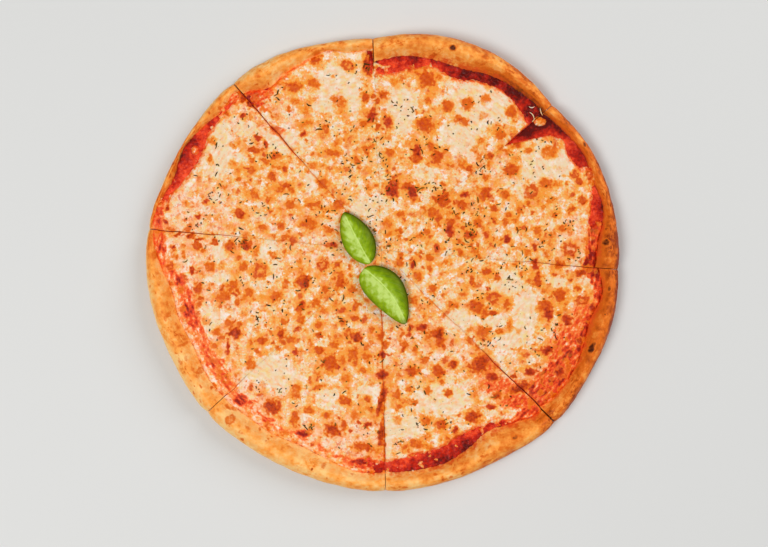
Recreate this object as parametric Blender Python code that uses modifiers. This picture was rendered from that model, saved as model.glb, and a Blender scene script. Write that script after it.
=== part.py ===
"""A whole cheese pizza, cut into eight slices that still lie together, with two basil leaves on top.

Run it with: blender --background --python part.py

Each slice is three solids: the dough with its raised rim, the sauce that runs through under the
cheese, and the cheese with its toasted blisters and its largest herb flakes fused on.
Units are metres. +Z is up, the table is at Z = 0, and the origin is under the middle of the pizza.
"""

import math
import random
from collections import namedtuple

import bmesh
import bpy
from mathutils import Matrix, Vector, noise

MM = 0.001

# Layers, from the table up, with the gap that solids keep where they lie on each other.
DOUGH = 6.0 * MM
SAUCE = 1.2 * MM
CHEESE = 2.8 * MM
GAP = 0.3 * MM
SAUCE_BOTTOM = DOUGH + GAP
SAUCE_TOP = SAUCE_BOTTOM + SAUCE
CHEESE_BOTTOM = SAUCE_TOP + GAP
CHEESE_TOP = CHEESE_BOTTOM + CHEESE

# The rim of the dough: a wide stretch has puffed up higher than a narrow one.
RIM_LOWEST = 8.6 * MM
RIM_RISE = 0.46
CREST_SHARE = 0.44
RIM_LUMPS = 0.09
RIM_LUMP_SIZE = 22 * MM
WIDEST_HEIGHT = 5.5 * MM
UNDERCUT = 6.5 * MM

# The cuts. A wheel has pressed the surface down beside each one and left a narrow gap.
TIP_RADIUS = 2.0 * MM
KERF_AT_TIP = 0.4 * MM
TYPICAL_RADIUS = 150.0 * MM
SHOULDER_REACH = 4.5 * MM
RIM_SHOULDER = 0.36
CHEESE_SHOULDER = 1.1 * MM
CHEESE_LUMPS = 0.45 * MM
CHEESE_LUMP_SIZE = 17 * MM
NOTCH = 0.9 * MM
NOTCH_REACH = 3.0 * MM
SHARES = (0.0, 0.03, 0.1, 0.21, 0.32, 0.44, 0.56, 0.68, 0.79, 0.9, 0.97, 1.0)

# Slices anticlockwise from the right-hand cut. start is the angle in degrees of the slice's first cut and
# kerf that cut's width at the rim. From the cut centre, outline is the outer edge at the first cut and at
# one and two thirds of the slice. rim is the width of bare dough, and sauce that of the sauce beside it,
# at seven places from the first cut to the last. Sizes are in millimetres.
Slice = namedtuple("Slice", "start kerf outline rim sauce")
SLICES = (
    Slice(-4.7, 0.8, (151.3, 149.6, 147.5),
          (16.8, 14.4, 7.5, 8.5, 6.6, 7.6, 8.9), (6.3, 5.7, 7.6, 0.8, 7.6, 5.0, 30.0)),
    Slice(40.3, 0.9, (142.8, 143.5, 140.9),
          (8.2, 11.1, 14.7, 19.1, 17.7, 15.6, 16.5), (12.0, 5.7, 3.8, 5.1, 2.5, 8.2, 7.6)),
    Slice(92.3, 1.6, (135.1, 136.1, 139.8),
          (8.5, 10.4, 7.0, 11.1, 14.4, 18.0, 11.4), (6.3, 1.9, 1.6, 0.8, 1.3, 2.2, 12.7)),
    Slice(131.6, 1.7, (142.1, 142.3, 144.0),
          (7.6, 8.9, 5.3, 2.5, 5.7, 3.8, 3.2), (4.4, 1.0, 5.4, 11.4, 5.7, 2.5, 7.6)),
    Slice(174.8, 1.2, (148.5, 149.7, 149.5),
          (4.4, 10.4, 16.5, 16.3, 17.9, 16.8, 16.5), (7.6, 4.7, 9.5, 11.4, 9.2, 12.0, 9.5)),
    Slice(223.0, 0.9, (151.5, 150.4, 151.3),
          (16.5, 17.9, 17.1, 18.9, 16.8, 13.3, 13.0), (7.6, 7.0, 4.4, 7.0, 4.4, 5.7, 10.0)),
    Slice(271.0, 0.8, (153.2, 152.6, 152.6),
          (13.6, 13.3, 13.0, 16.5, 21.8, 18.4, 13.0), (5.1, 7.9, 8.9, 7.9, 2.2, 1.9, 8.9)),
    Slice(315.2, 1.8, (155.7, 153.7, 153.5),
          (15.5, 12.7, 11.7, 13.9, 15.8, 11.6, 14.2), (15.2, 15.8, 12.0, 5.7, 1.9, 3.2, 8.9)),
)

# Blisters and herb flakes, spread by the sunflower rule over the cheese.
GOLDEN_ANGLE = math.radians(137.508)
BLISTERS = 62
BLISTER_RADIUS = (3.4 * MM, 5.2 * MM)
BLISTER_STRETCH = 1.25
BLISTER_RISE = (0.9 * MM, 1.4 * MM)
FLAKES = 84
FLAKE_LENGTH = (3.2 * MM, 4.8 * MM)
FLAKE_WIDTH = 0.9 * MM
FLAKE_THICKNESS = 1.3 * MM
SUNK = 0.12 * MM
CUT_CLEARANCE = 1.5 * MM
EDGE_CLEARANCE = 2.0 * MM
LEAF_SURROUND = 3.0 * MM
SEED = 11
HIGH_ABOVE = 1.0

# Basil leaves. base and tip are places from the middle of the pizza. right and left are the widths of the
# blade's halves on each side of the midrib, bow is how far that bends to the left, arch is the height
# of the blade's middle over its ends, and belly below 1 moves the widest place towards the base.
Leaf = namedtuple("Leaf", "name base tip right left bow arch belly")
LEAVES = (
    Leaf("basil_leaf_upper", (-7.9, -0.4), (-24.5, 31.3), 10.0, 9.4, 0.2, 3.2, 0.84),
    Leaf("basil_leaf_lower", (-11.4, -4.0), (14.8, -38.4), 12.3, 10.6, 3.6, 4.2, 0.72),
)
LEAF_THICKNESS = 0.5 * MM
LEAF_CLEARANCE = 0.55 * MM
LEAF_STEPS_ALONG = 14
LEAF_STEPS_ACROSS = 8
LEAF_FULLNESS = 0.7
LEAF_BLUNTNESS = 0.05
LEAF_QUILTING = 1.3 * MM
LEAF_DROOP = 2.4 * MM
LEAF_WAVES = 0.35 * MM


# Measures along a slice

def catmull_rom(before, first, second, after, share):
    """A smooth value between first and second."""
    slope_in = (second - before) / 2
    slope_out = (after - first) / 2
    rise = second - first
    return first + share * (slope_in + share * (3 * rise - 2 * slope_in - slope_out
                                                + share * (slope_in + slope_out - 2 * rise)))


def along(values, share):
    """A smooth value at this share of a row of evenly spaced ones, in metres."""
    place = share * (len(values) - 1)
    index = min(int(place), len(values) - 2)
    row = [values[min(max(index + step, 0), len(values) - 1)] for step in (-1, 0, 1, 2)]
    return max(catmull_rom(*row, place - index), min(values)) * MM


def cut_angle(index):
    """The angle of a slice's first cut, which is the last cut of the slice before it."""
    return math.radians(SLICES[index % len(SLICES)].start + 360 * (index // len(SLICES)))


def from_cut(index, share, radius):
    """The distance to the nearer of the slice's two cuts."""
    return min(share, 1 - share) * (cut_angle(index + 1) - cut_angle(index)) * radius


def outer_radius(index, share):
    """From the cut centre to the outer edge, with a small notch where a cut reaches it."""
    knots = [radius for piece in SLICES for radius in piece.outline]
    place = 3 * (index + share)
    base = math.floor(place)
    row = [knots[(base + step) % len(knots)] for step in (-1, 0, 1, 2)]
    away = from_cut(index, share, TYPICAL_RADIUS)
    return catmull_rom(*row, place - base) * MM - NOTCH * math.exp(-away / NOTCH_REACH)


def half_kerf(index, radius):
    """Half the width of a slice's first cut, which grows from the tips to the rim."""
    at_rim = SLICES[index % len(SLICES)].kerf * MM
    return (KERF_AT_TIP + (at_rim - KERF_AT_TIP) * radius / TYPICAL_RADIUS) / 2


def flat_place(index, share, radius):
    """The point at this share of a slice's angle and this radius, drawn in from both of its cuts."""
    first, last = cut_angle(index), cut_angle(index + 1)
    angle = first + share * (last - first)
    away_from_first = Vector((-math.sin(first), math.cos(first), 0)) * half_kerf(index, radius)
    away_from_last = Vector((math.sin(last), -math.cos(last), 0)) * half_kerf(index + 1, radius)
    spoke = Vector((math.cos(angle), math.sin(angle), 0)) * radius
    return spoke + away_from_first * (1 - share) + away_from_last * share


def find_cut_centre():
    """The point where the cuts meet, when the origin is under the middle of the whole outline."""
    outline = [flat_place(index, share, outer_radius(index, share))
               for index in range(len(SLICES)) for share in SHARES]
    wide = [point.x for point in outline]
    deep = [point.y for point in outline]
    return Vector((-(min(wide) + max(wide)) / 2, -(min(deep) + max(deep)) / 2, 0))


CUT_CENTRE = find_cut_centre()


def lumps(point, size, seed):
    """A smooth unevenness between about -1 and 1, with bumps of this size."""
    return noise.noise(point / size + Vector((seed, seed, seed))) * 1.6


# Sections of a slice, as loops of (radius, height) from the tip out along the underside and back

def dough_section(index, share):
    """A flat base with a round, puffed rim, which falls in a soft curve to the bed of the sauce."""
    edge = outer_radius(index, share)
    width = along(SLICES[index].rim, share)
    sunk = RIM_SHOULDER * math.exp(-from_cut(index, share, edge) / SHOULDER_REACH)
    uneven = 1 + RIM_LUMPS * lumps(flat_place(index, share, edge), RIM_LUMP_SIZE, 3)
    crest = DOUGH + (RIM_LOWEST - DOUGH + RIM_RISE * width) * uneven * (1 - sunk)
    outside = CREST_SHARE * width
    loop = [(TIP_RADIUS, 0), (edge - UNDERCUT, 0)]
    for turn in (-52, -26):
        lean = math.radians(turn)
        loop.append((edge - UNDERCUT * (1 - math.cos(lean)), WIDEST_HEIGHT * (1 + math.sin(lean))))
    for turn in (0, 30, 58, 90):
        lean = math.radians(turn)
        height = WIDEST_HEIGHT + (crest - WIDEST_HEIGHT) * math.sin(lean)
        loop.append((edge - outside * (1 - math.cos(lean)), height))
    for step in (0.35, 0.7, 1.0):
        fall = (1 + math.cos(math.pi * step)) / 2
        loop.append((edge - outside - (width - outside) * step, DOUGH + (crest - DOUGH) * fall))
    return loop + [(TIP_RADIUS, DOUGH)]


def sauce_section(index, share):
    """A thin layer with a rounded outer edge against the rim."""
    edge = outer_radius(index, share) - along(SLICES[index].rim, share) - GAP
    return [(TIP_RADIUS, SAUCE_BOTTOM), (edge, SAUCE_BOTTOM), (edge, SAUCE_BOTTOM + SAUCE / 2),
            (edge - SAUCE, SAUCE_TOP), (TIP_RADIUS, SAUCE_TOP)]


def cheese_edge(index, share):
    """From the cut centre to the edge of the cheese."""
    return outer_radius(index, share) - along(SLICES[index].rim, share) - along(SLICES[index].sauce, share)


def cheese_height(index, share, radius):
    """The melted surface, lower beside a cut."""
    sunk = CHEESE_SHOULDER * math.exp(-from_cut(index, share, radius) / SHOULDER_REACH)
    return CHEESE_TOP - sunk + CHEESE_LUMPS * lumps(flat_place(index, share, radius), CHEESE_LUMP_SIZE, 8)


def cheese_section(index, share):
    """A thicker layer whose edge has run out to a blunt lip on the sauce."""
    edge = cheese_edge(index, share)
    loop = [(TIP_RADIUS, CHEESE_BOTTOM), (edge - CHEESE / 4, CHEESE_BOTTOM),
            (edge, CHEESE_BOTTOM + CHEESE / 4), (edge - CHEESE / 3, CHEESE_BOTTOM + 2 * CHEESE / 3)]
    for step in (0.955, 0.84, 0.7, 0.56, 0.42, 0.28, 0.14):
        loop.append((edge * step, cheese_height(index, share, edge * step)))
    return loop + [(TIP_RADIUS, cheese_height(index, share, TIP_RADIUS))]


# Making the solids

def coloured(name, colour, roughness):
    """A plain material of this colour."""
    material = bpy.data.materials.new(name)
    material.use_nodes = True
    shader = material.node_tree.nodes["Principled BSDF"]
    shader.inputs["Base Color"].default_value = (*colour, 1)
    shader.inputs["Roughness"].default_value = roughness
    shader.inputs["Metallic"].default_value = 0
    return material


def add_object(name, mesh, material, collection):
    mesh.shade_smooth()
    mesh.set_sharp_from_angle(angle=math.radians(40))
    mesh.materials.clear()
    mesh.materials.append(material)
    made = bpy.data.objects.new(name, mesh)
    collection.objects.link(made)
    return made


def loft_slice(name, index, section, material, collection):
    """Skins a layer of a slice over its sections at SHARES, from one cut face to the other."""
    shell = bmesh.new()
    loops = []
    for share in SHARES:
        ring = []
        for radius, height in section(index, share):
            place = CUT_CENTRE + flat_place(index, share, radius)
            ring.append(shell.verts.new((place.x, place.y, height)))
        loops.append(ring)
    for ring, following in zip(loops, loops[1:]):
        for spot in range(len(ring)):
            after = (spot + 1) % len(ring)
            shell.faces.new((ring[spot], following[spot], following[after], ring[after]))
    shell.faces.new(loops[0])
    shell.faces.new(reversed(loops[-1]))
    bmesh.ops.recalc_face_normals(shell, faces=shell.faces)
    mesh = bpy.data.meshes.new(name)
    shell.to_mesh(mesh)
    shell.free()
    return add_object(name, mesh, material, collection)


def sunflower(count, turn):
    """Evenly spread spots on the cheese, as (slice index, share of its angle, share of its radius)."""
    for number in range(count):
        angle = (number * GOLDEN_ANGLE + turn) % (2 * math.pi)
        reach = math.sqrt((number + 0.5) / count)
        index = max(number for number in range(len(SLICES) + 1) if cut_angle(number) <= angle)
        share = (angle - cut_angle(index)) / (cut_angle(index + 1) - cut_angle(index))
        yield index % len(SLICES), share, reach


def under_leaf(point):
    """Whether a basil leaf lies over this point."""
    for leaf in LEAVES:
        base = Vector(leaf.base) * MM
        axis = Vector(leaf.tip) * MM - base
        share = min(max((point.xy - base).dot(axis) / axis.length_squared, 0), 1)
        if (point.xy - base - axis * share).length < max(leaf.left, leaf.right) * MM + LEAF_SURROUND:
            return True
    return False


def topping_spots(count, turn, room, taken):
    """(slice index, place) of the spots that are clear of cuts, leaves and each other."""
    for index, share, reach in sunflower(count, turn):
        radius = reach * (cheese_edge(index, share) - room - EDGE_CLEARANCE)
        place = CUT_CENTRE + flat_place(index, share, radius)
        clear = from_cut(index, share, radius) > room + CUT_CLEARANCE and not under_leaf(place)
        if clear and all((place - other).length > room + its_room for other, its_room in taken):
            yield index, place


def surface_height(body, place):
    """The height of a body's upper face at this place."""
    found, hit, _, _ = body.ray_cast(Vector((place.x, place.y, HIGH_ABOVE)), Vector((0, 0, -1)))
    return hit.z if found else None


def blister(name, place, height, draw, material, collection):
    """A low, slightly long dome of toasted cheese."""
    dome = bmesh.new()
    bmesh.ops.create_uvsphere(dome, u_segments=8, v_segments=4, radius=1)
    size = draw.uniform(*BLISTER_RADIUS)
    stretch = draw.uniform(1.0, BLISTER_STRETCH)
    bmesh.ops.scale(dome, verts=dome.verts, vec=(size * stretch, size, draw.uniform(*BLISTER_RISE)))
    bmesh.ops.rotate(dome, verts=dome.verts, matrix=Matrix.Rotation(draw.uniform(0, math.pi), 3, "Z"))
    bmesh.ops.translate(dome, verts=dome.verts, vec=(place.x, place.y, height - SUNK))
    mesh = bpy.data.meshes.new(name)
    dome.to_mesh(mesh)
    dome.free()
    return add_object(name, mesh, material, collection)


def flake(name, place, height, draw, material, collection):
    """A dried herb flake: a short straw, narrower at its ends, half sunk in the cheese."""
    straw = bmesh.new()
    bmesh.ops.create_cube(straw, size=1)
    length = draw.uniform(*FLAKE_LENGTH)
    for corner in straw.verts:
        corner.co.y *= draw.uniform(0.5, 1.0)
    bmesh.ops.scale(straw, verts=straw.verts, vec=(length, FLAKE_WIDTH, FLAKE_THICKNESS))
    bmesh.ops.rotate(straw, verts=straw.verts, matrix=Matrix.Rotation(draw.uniform(0, math.pi), 3, "Z"))
    bmesh.ops.translate(straw, verts=straw.verts, vec=(place.x, place.y, height - SUNK))
    mesh = bpy.data.meshes.new(name)
    straw.to_mesh(mesh)
    straw.free()
    return add_object(name, mesh, material, collection)


def fuse(body, toppings):
    """Joins a collection of toppings to the body they lie on, and removes them."""
    join = body.modifiers.new("toppings", "BOOLEAN")
    join.operation = "UNION"
    join.operand_type = "COLLECTION"
    join.collection = toppings
    bpy.context.view_layer.update()
    graph = bpy.context.evaluated_depsgraph_get()
    joined = bpy.data.meshes.new_from_object(body.evaluated_get(graph))
    body.modifiers.remove(join)
    body.data = joined
    for piece in list(toppings.objects):
        bpy.data.objects.remove(piece)
    bpy.data.collections.remove(toppings)


def leaf_point(leaf, share, side):
    """A point of the blade: share runs from base to tip, and side from -1 (right) to 1 (left)."""
    base, tip = Vector(leaf.base) * MM, Vector(leaf.tip) * MM
    ahead = (tip - base).normalized()
    across = Vector((-ahead.y, ahead.x))
    swell = math.sin(math.pi * share)
    rounded = LEAF_BLUNTNESS + (1 - LEAF_BLUNTNESS) * math.sin(math.pi * share ** leaf.belly) ** LEAF_FULLNESS
    half = (leaf.left if side > 0 else leaf.right) * rounded
    flat = base + (tip - base) * share + across * (side * half + leaf.bow * swell) * MM
    domed = leaf.arch * MM * (1 - (2 * share - 1) ** 2)
    quilted = LEAF_QUILTING * math.sin(math.pi * abs(side)) * swell
    drooped = LEAF_DROOP * side * side * swell
    wavy = LEAF_WAVES * math.sin(9 * share + 3 * side)
    return Vector((flat.x, flat.y, domed + quilted - drooped + wavy))


def basil_leaf(leaf, cheeses, material, collection):
    """A thin wavy blade that rests on the highest spots of the cheese under it."""
    blade = bmesh.new()
    bmesh.ops.create_grid(blade, x_segments=LEAF_STEPS_ALONG, y_segments=LEAF_STEPS_ACROSS, size=1)
    for corner in blade.verts:
        corner.co = leaf_point(leaf, (corner.co.x + 1) / 2, corner.co.y)
    bmesh.ops.triangulate(blade, faces=blade.faces)
    lift = 0
    for corner in blade.verts:
        for cheese in cheeses:
            height = surface_height(cheese, corner.co)
            if height is not None:
                lift = max(lift, height - corner.co.z)
    bmesh.ops.translate(blade, verts=blade.verts, vec=(0, 0, lift + LEAF_CLEARANCE))
    bmesh.ops.recalc_face_normals(blade, faces=blade.faces)
    if sum(face.normal.z for face in blade.faces) < 0:
        bmesh.ops.reverse_faces(blade, faces=blade.faces)
    mesh = bpy.data.meshes.new(leaf.name)
    blade.to_mesh(mesh)
    blade.free()
    made = add_object(leaf.name, mesh, material, collection)
    wall = made.modifiers.new("thickness", "SOLIDIFY")
    wall.thickness = LEAF_THICKNESS
    wall.offset = 1
    return made


def add_toppings(cheeses, material):
    """Fuses the largest blisters and herb flakes to the cheese that they lie on."""
    draw = random.Random(SEED)
    boxes = []
    for cheese in cheeses:
        box = bpy.data.collections.new(cheese.name + "_toppings")
        bpy.context.scene.collection.children.link(box)
        boxes.append(box)
    taken = []
    made = 0
    for count, turn, room, shape in (
            (BLISTERS, 0.3, BLISTER_RADIUS[1] * BLISTER_STRETCH, blister),
            (FLAKES, 1.1, FLAKE_LENGTH[1] / 2, flake)):
        for index, place in list(topping_spots(count, turn, room, taken)):
            height = surface_height(cheeses[index], place)
            if height is None:
                continue
            taken.append((place, room))
            shape(f"topping_{made}", place, height, draw, material, boxes[index])
            made += 1
    for cheese, box in zip(cheeses, boxes):
        fuse(cheese, box)


def main():
    for leftover in list(bpy.data.objects):
        bpy.data.objects.remove(leftover)
    pizza = bpy.data.collections.new("cheese_pizza")
    bpy.context.scene.collection.children.link(pizza)
    baked_dough = coloured("baked_dough", (0.80, 0.47, 0.17), 0.62)
    tomato_sauce = coloured("tomato_sauce", (0.58, 0.07, 0.02), 0.3)
    melted_cheese = coloured("melted_cheese", (0.84, 0.56, 0.25), 0.36)
    basil = coloured("basil", (0.17, 0.34, 0.03), 0.34)
    cheeses = []
    for index in range(len(SLICES)):
        label = f"slice_{index + 1}"
        loft_slice(label + "_dough", index, dough_section, baked_dough, pizza)
        loft_slice(label + "_sauce", index, sauce_section, tomato_sauce, pizza)
        cheeses.append(loft_slice(label + "_cheese", index, cheese_section, melted_cheese, pizza))
    bpy.context.view_layer.update()
    add_toppings(cheeses, melted_cheese)
    bpy.context.view_layer.update()
    for leaf in LEAVES:
        basil_leaf(leaf, cheeses, basil, pizza)


main()
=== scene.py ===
"""Looks of a whole cheese pizza, cut into eight slices that lie together, with two basil leaves on it.

Each slice is a puffed, browned rim of dough, a grainy tomato sauce and a sheet of melted cheese with
toasted blisters. Dried herbs lie over all of them. The picture is taken from straight above.
"""

import logging
import math
import random
from collections.abc import Callable
from dataclasses import dataclass, field
from enum import Enum

import bmesh
import bpy
import numpy as np
from mathutils import Matrix, Vector, noise


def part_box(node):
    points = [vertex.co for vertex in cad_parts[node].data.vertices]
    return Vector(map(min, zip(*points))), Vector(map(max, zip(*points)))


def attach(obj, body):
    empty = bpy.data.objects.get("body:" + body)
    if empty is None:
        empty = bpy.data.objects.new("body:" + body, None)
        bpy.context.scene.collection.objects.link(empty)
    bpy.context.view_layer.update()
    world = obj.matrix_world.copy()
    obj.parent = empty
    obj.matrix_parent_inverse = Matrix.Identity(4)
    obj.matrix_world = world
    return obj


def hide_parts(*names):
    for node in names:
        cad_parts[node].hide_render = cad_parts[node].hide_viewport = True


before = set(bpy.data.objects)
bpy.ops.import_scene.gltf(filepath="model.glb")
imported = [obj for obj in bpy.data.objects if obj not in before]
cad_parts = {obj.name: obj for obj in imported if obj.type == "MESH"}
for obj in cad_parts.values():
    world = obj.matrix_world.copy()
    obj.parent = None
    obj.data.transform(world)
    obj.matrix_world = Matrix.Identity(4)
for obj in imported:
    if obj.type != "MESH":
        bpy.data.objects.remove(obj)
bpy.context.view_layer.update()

MM = 0.001
PIXEL = 0.633 * MM
PICTURE_MIDDLE = (382.5, 262.5)
TOUCHING = 0.001 * MM
SLICE_CREASE = 50
MOST_BLISTERS = 6000
BODY = "root"

log = logging.getLogger("cheese_pizza")
Array = np.ndarray
Pair = tuple[Array, Array]
Colour = tuple[float, float, float, float]
Material = bpy.types.Material
Mesh = bpy.types.Mesh
Socket = bpy.types.NodeSocket


class Slot(Enum):
    """The pizza's material slots."""

    DOUGH = "dough"
    SAUCE = "sauce"
    CHEESE = "cheese"
    BASIL = "basil"


# Numbers and small tools

def linear(red: float, green: float, blue: float) -> Colour:
    """Turns a screen colour into the linear one that a shader takes.

    Args:
        red: Red, from 0 to 255.
        green: Green, from 0 to 255.
        blue: Blue, from 0 to 255.

    Returns:
        The linear colour, with full opacity.
    """
    parts = []
    for value in (red / 255, green / 255, blue / 255):
        parts.append(value / 12.92 if value <= 0.04045 else ((value + 0.055) / 1.055) ** 2.4)
    return (*parts, 1.0)


def on_table(across: float, down: float) -> tuple[float, float]:
    """Turns a place in the picture, in pixels, into one on the table, in metres."""
    return (across - PICTURE_MIDDLE[0]) * PIXEL, (PICTURE_MIDDLE[1] - down) * PIXEL


def ease(low: float, high: float, values: Array) -> Array:
    """Rises smoothly from 0 for values at low to 1 for those at high, or falls if low is the larger."""
    share = np.clip((values - low) / (high - low), 0, 1)
    return share * share * (3 - 2 * share)


class Unevenness:
    """Smooth seeded noise over the table plane, for whole arrays of places."""

    LATTICE = 4096
    GAIN = 1.5
    LAYER_SHIFT = 17.3
    LAYERED_GAIN = 1.4

    def __init__(self, seed: int) -> None:
        """Draws the lattice.

        Args:
            seed: Picks one pattern.
        """
        draw = np.random.default_rng(seed)
        self.order = draw.permutation(self.LATTICE)
        turns = draw.uniform(0, 2 * np.pi, self.LATTICE)
        self.across, self.along = np.cos(turns), np.sin(turns)

    def at(self, x: Array, y: Array, size: float) -> Array:
        """Reads the noise.

        Args:
            x: Places along X.
            y: Places along Y.
            size: The size of its bumps, in the places' unit.

        Returns:
            Values between about -1 and 1.
        """
        x, y = np.asarray(x) / size, np.asarray(y) / size
        column, row = np.floor(x).astype(int), np.floor(y).astype(int)
        dx, dy = x - column, y - row
        fade_x = dx ** 3 * (dx * (dx * 6 - 15) + 10)
        fade_y = dy ** 3 * (dy * (dy * 6 - 15) + 10)

        def corner(step_x: int, step_y: int) -> Array:
            """The pull of one corner of each lattice cell."""
            spot = self.order[(column + step_x) % self.LATTICE]
            spot = self.order[(spot + row + step_y) % self.LATTICE]
            return self.across[spot] * (dx - step_x) + self.along[spot] * (dy - step_y)

        lower = corner(0, 0) + fade_x * (corner(1, 0) - corner(0, 0))
        upper = corner(0, 1) + fade_x * (corner(1, 1) - corner(0, 1))
        return self.GAIN * (lower + fade_y * (upper - lower))

    def rough(self, x: Array, y: Array, size: float, layers: int = 3) -> Array:
        """Adds finer and fainter layers of the noise.

        Args:
            x: Places along X.
            y: Places along Y.
            size: The size of the coarsest bumps.
            layers: How many layers.

        Returns:
            Values between about -1 and 1.
        """
        total = np.zeros(np.shape(x))
        for layer in range(layers):
            total += self.at(x + self.LAYER_SHIFT * layer * size, y, size / 2 ** layer) / 2 ** layer
        return total / self.LAYERED_GAIN


def catmull_rom(knots: Array, place: Array, closed: bool) -> Array:
    """Reads a smooth curve through evenly spaced knots.

    Args:
        knots: The values it passes through.
        place: Where to read it, counted in knots.
        closed: Whether the last knot leads back to the first.

    Returns:
        The curve's values.
    """
    knots = np.asarray(knots, float)
    base = np.floor(place).astype(int)
    if not closed:
        base = np.minimum(base, len(knots) - 2)
    share = place - base
    rows = []
    for step in (-1, 0, 1, 2):
        spot = (base + step) % len(knots) if closed else np.clip(base + step, 0, len(knots) - 1)
        rows.append(knots[spot])
    before, first, second, after = rows
    slope_in, slope_out, rise = (second - before) / 2, (after - first) / 2, second - first
    return first + share * (slope_in + share * (3 * rise - 2 * slope_in - slope_out
                                                + share * (slope_in + slope_out - 2 * rise)))


def by_angle(rows: tuple[tuple[float, float], ...], degrees: Array) -> Array:
    """Reads a value that changes round the pizza, from rows of an angle in degrees and its value."""
    return np.interp(degrees, *zip(*rows))


def cuts(index: int) -> tuple[tuple[int, int], ...]:
    """The numbers of a slice's two cuts, each with the side of it that the slice lies on."""
    return (index, 1), (index + 1, -1)


# The layout of the slices, seen from above

@dataclass(frozen=True)
class Wedge:
    """One slice's outline. Sizes are in millimetres.

    Attributes:
        start: The angle of its first cut, in degrees.
        kerf: That cut's width at the rim.
        outline: From the cut centre to the outer edge, at the first cut, one third and two thirds.
        rim: The width of bare dough, at seven places from the first cut to the last.
        sauce: The width of the sauce beside it, at the same places.
    """

    start: float
    kerf: float
    outline: tuple[float, ...]
    rim: tuple[float, ...]
    sauce: tuple[float, ...]


WEDGES = (
    Wedge(-4.7, 0.8, (151.3, 149.6, 147.5),
          (16.8, 14.4, 7.5, 8.5, 6.6, 7.6, 8.9), (6.3, 5.7, 7.6, 0.8, 7.6, 5.0, 30.0)),
    Wedge(40.3, 0.9, (142.8, 143.5, 140.9),
          (8.2, 11.1, 14.7, 19.1, 17.7, 15.6, 16.5), (12.0, 5.7, 3.8, 5.1, 2.5, 8.2, 7.6)),
    Wedge(92.3, 1.6, (135.1, 136.1, 139.8),
          (8.5, 10.4, 7.0, 11.1, 14.4, 18.0, 11.4), (6.3, 1.9, 1.6, 0.8, 1.3, 2.2, 12.7)),
    Wedge(131.6, 1.7, (142.1, 142.3, 144.0),
          (7.6, 8.9, 5.3, 2.5, 5.7, 3.8, 3.2), (4.4, 1.0, 5.4, 11.4, 5.7, 2.5, 7.6)),
    Wedge(174.8, 1.2, (148.5, 149.7, 149.5),
          (4.4, 10.4, 16.5, 16.3, 17.9, 16.8, 16.5), (7.6, 4.7, 9.5, 11.4, 9.2, 12.0, 9.5)),
    Wedge(223.0, 0.9, (151.5, 150.4, 151.3),
          (16.5, 17.9, 17.1, 18.9, 16.8, 13.3, 13.0), (7.6, 7.0, 4.4, 7.0, 4.4, 5.7, 10.0)),
    Wedge(271.0, 0.8, (153.2, 152.6, 152.6),
          (13.6, 13.3, 13.0, 16.5, 21.8, 18.4, 13.0), (5.1, 7.9, 8.9, 7.9, 2.2, 1.9, 8.9)),
    Wedge(315.2, 1.8, (155.7, 153.7, 153.5),
          (15.5, 12.7, 11.7, 13.9, 15.8, 11.6, 14.2), (15.2, 15.8, 12.0, 5.7, 1.9, 3.2, 8.9)),
)


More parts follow.
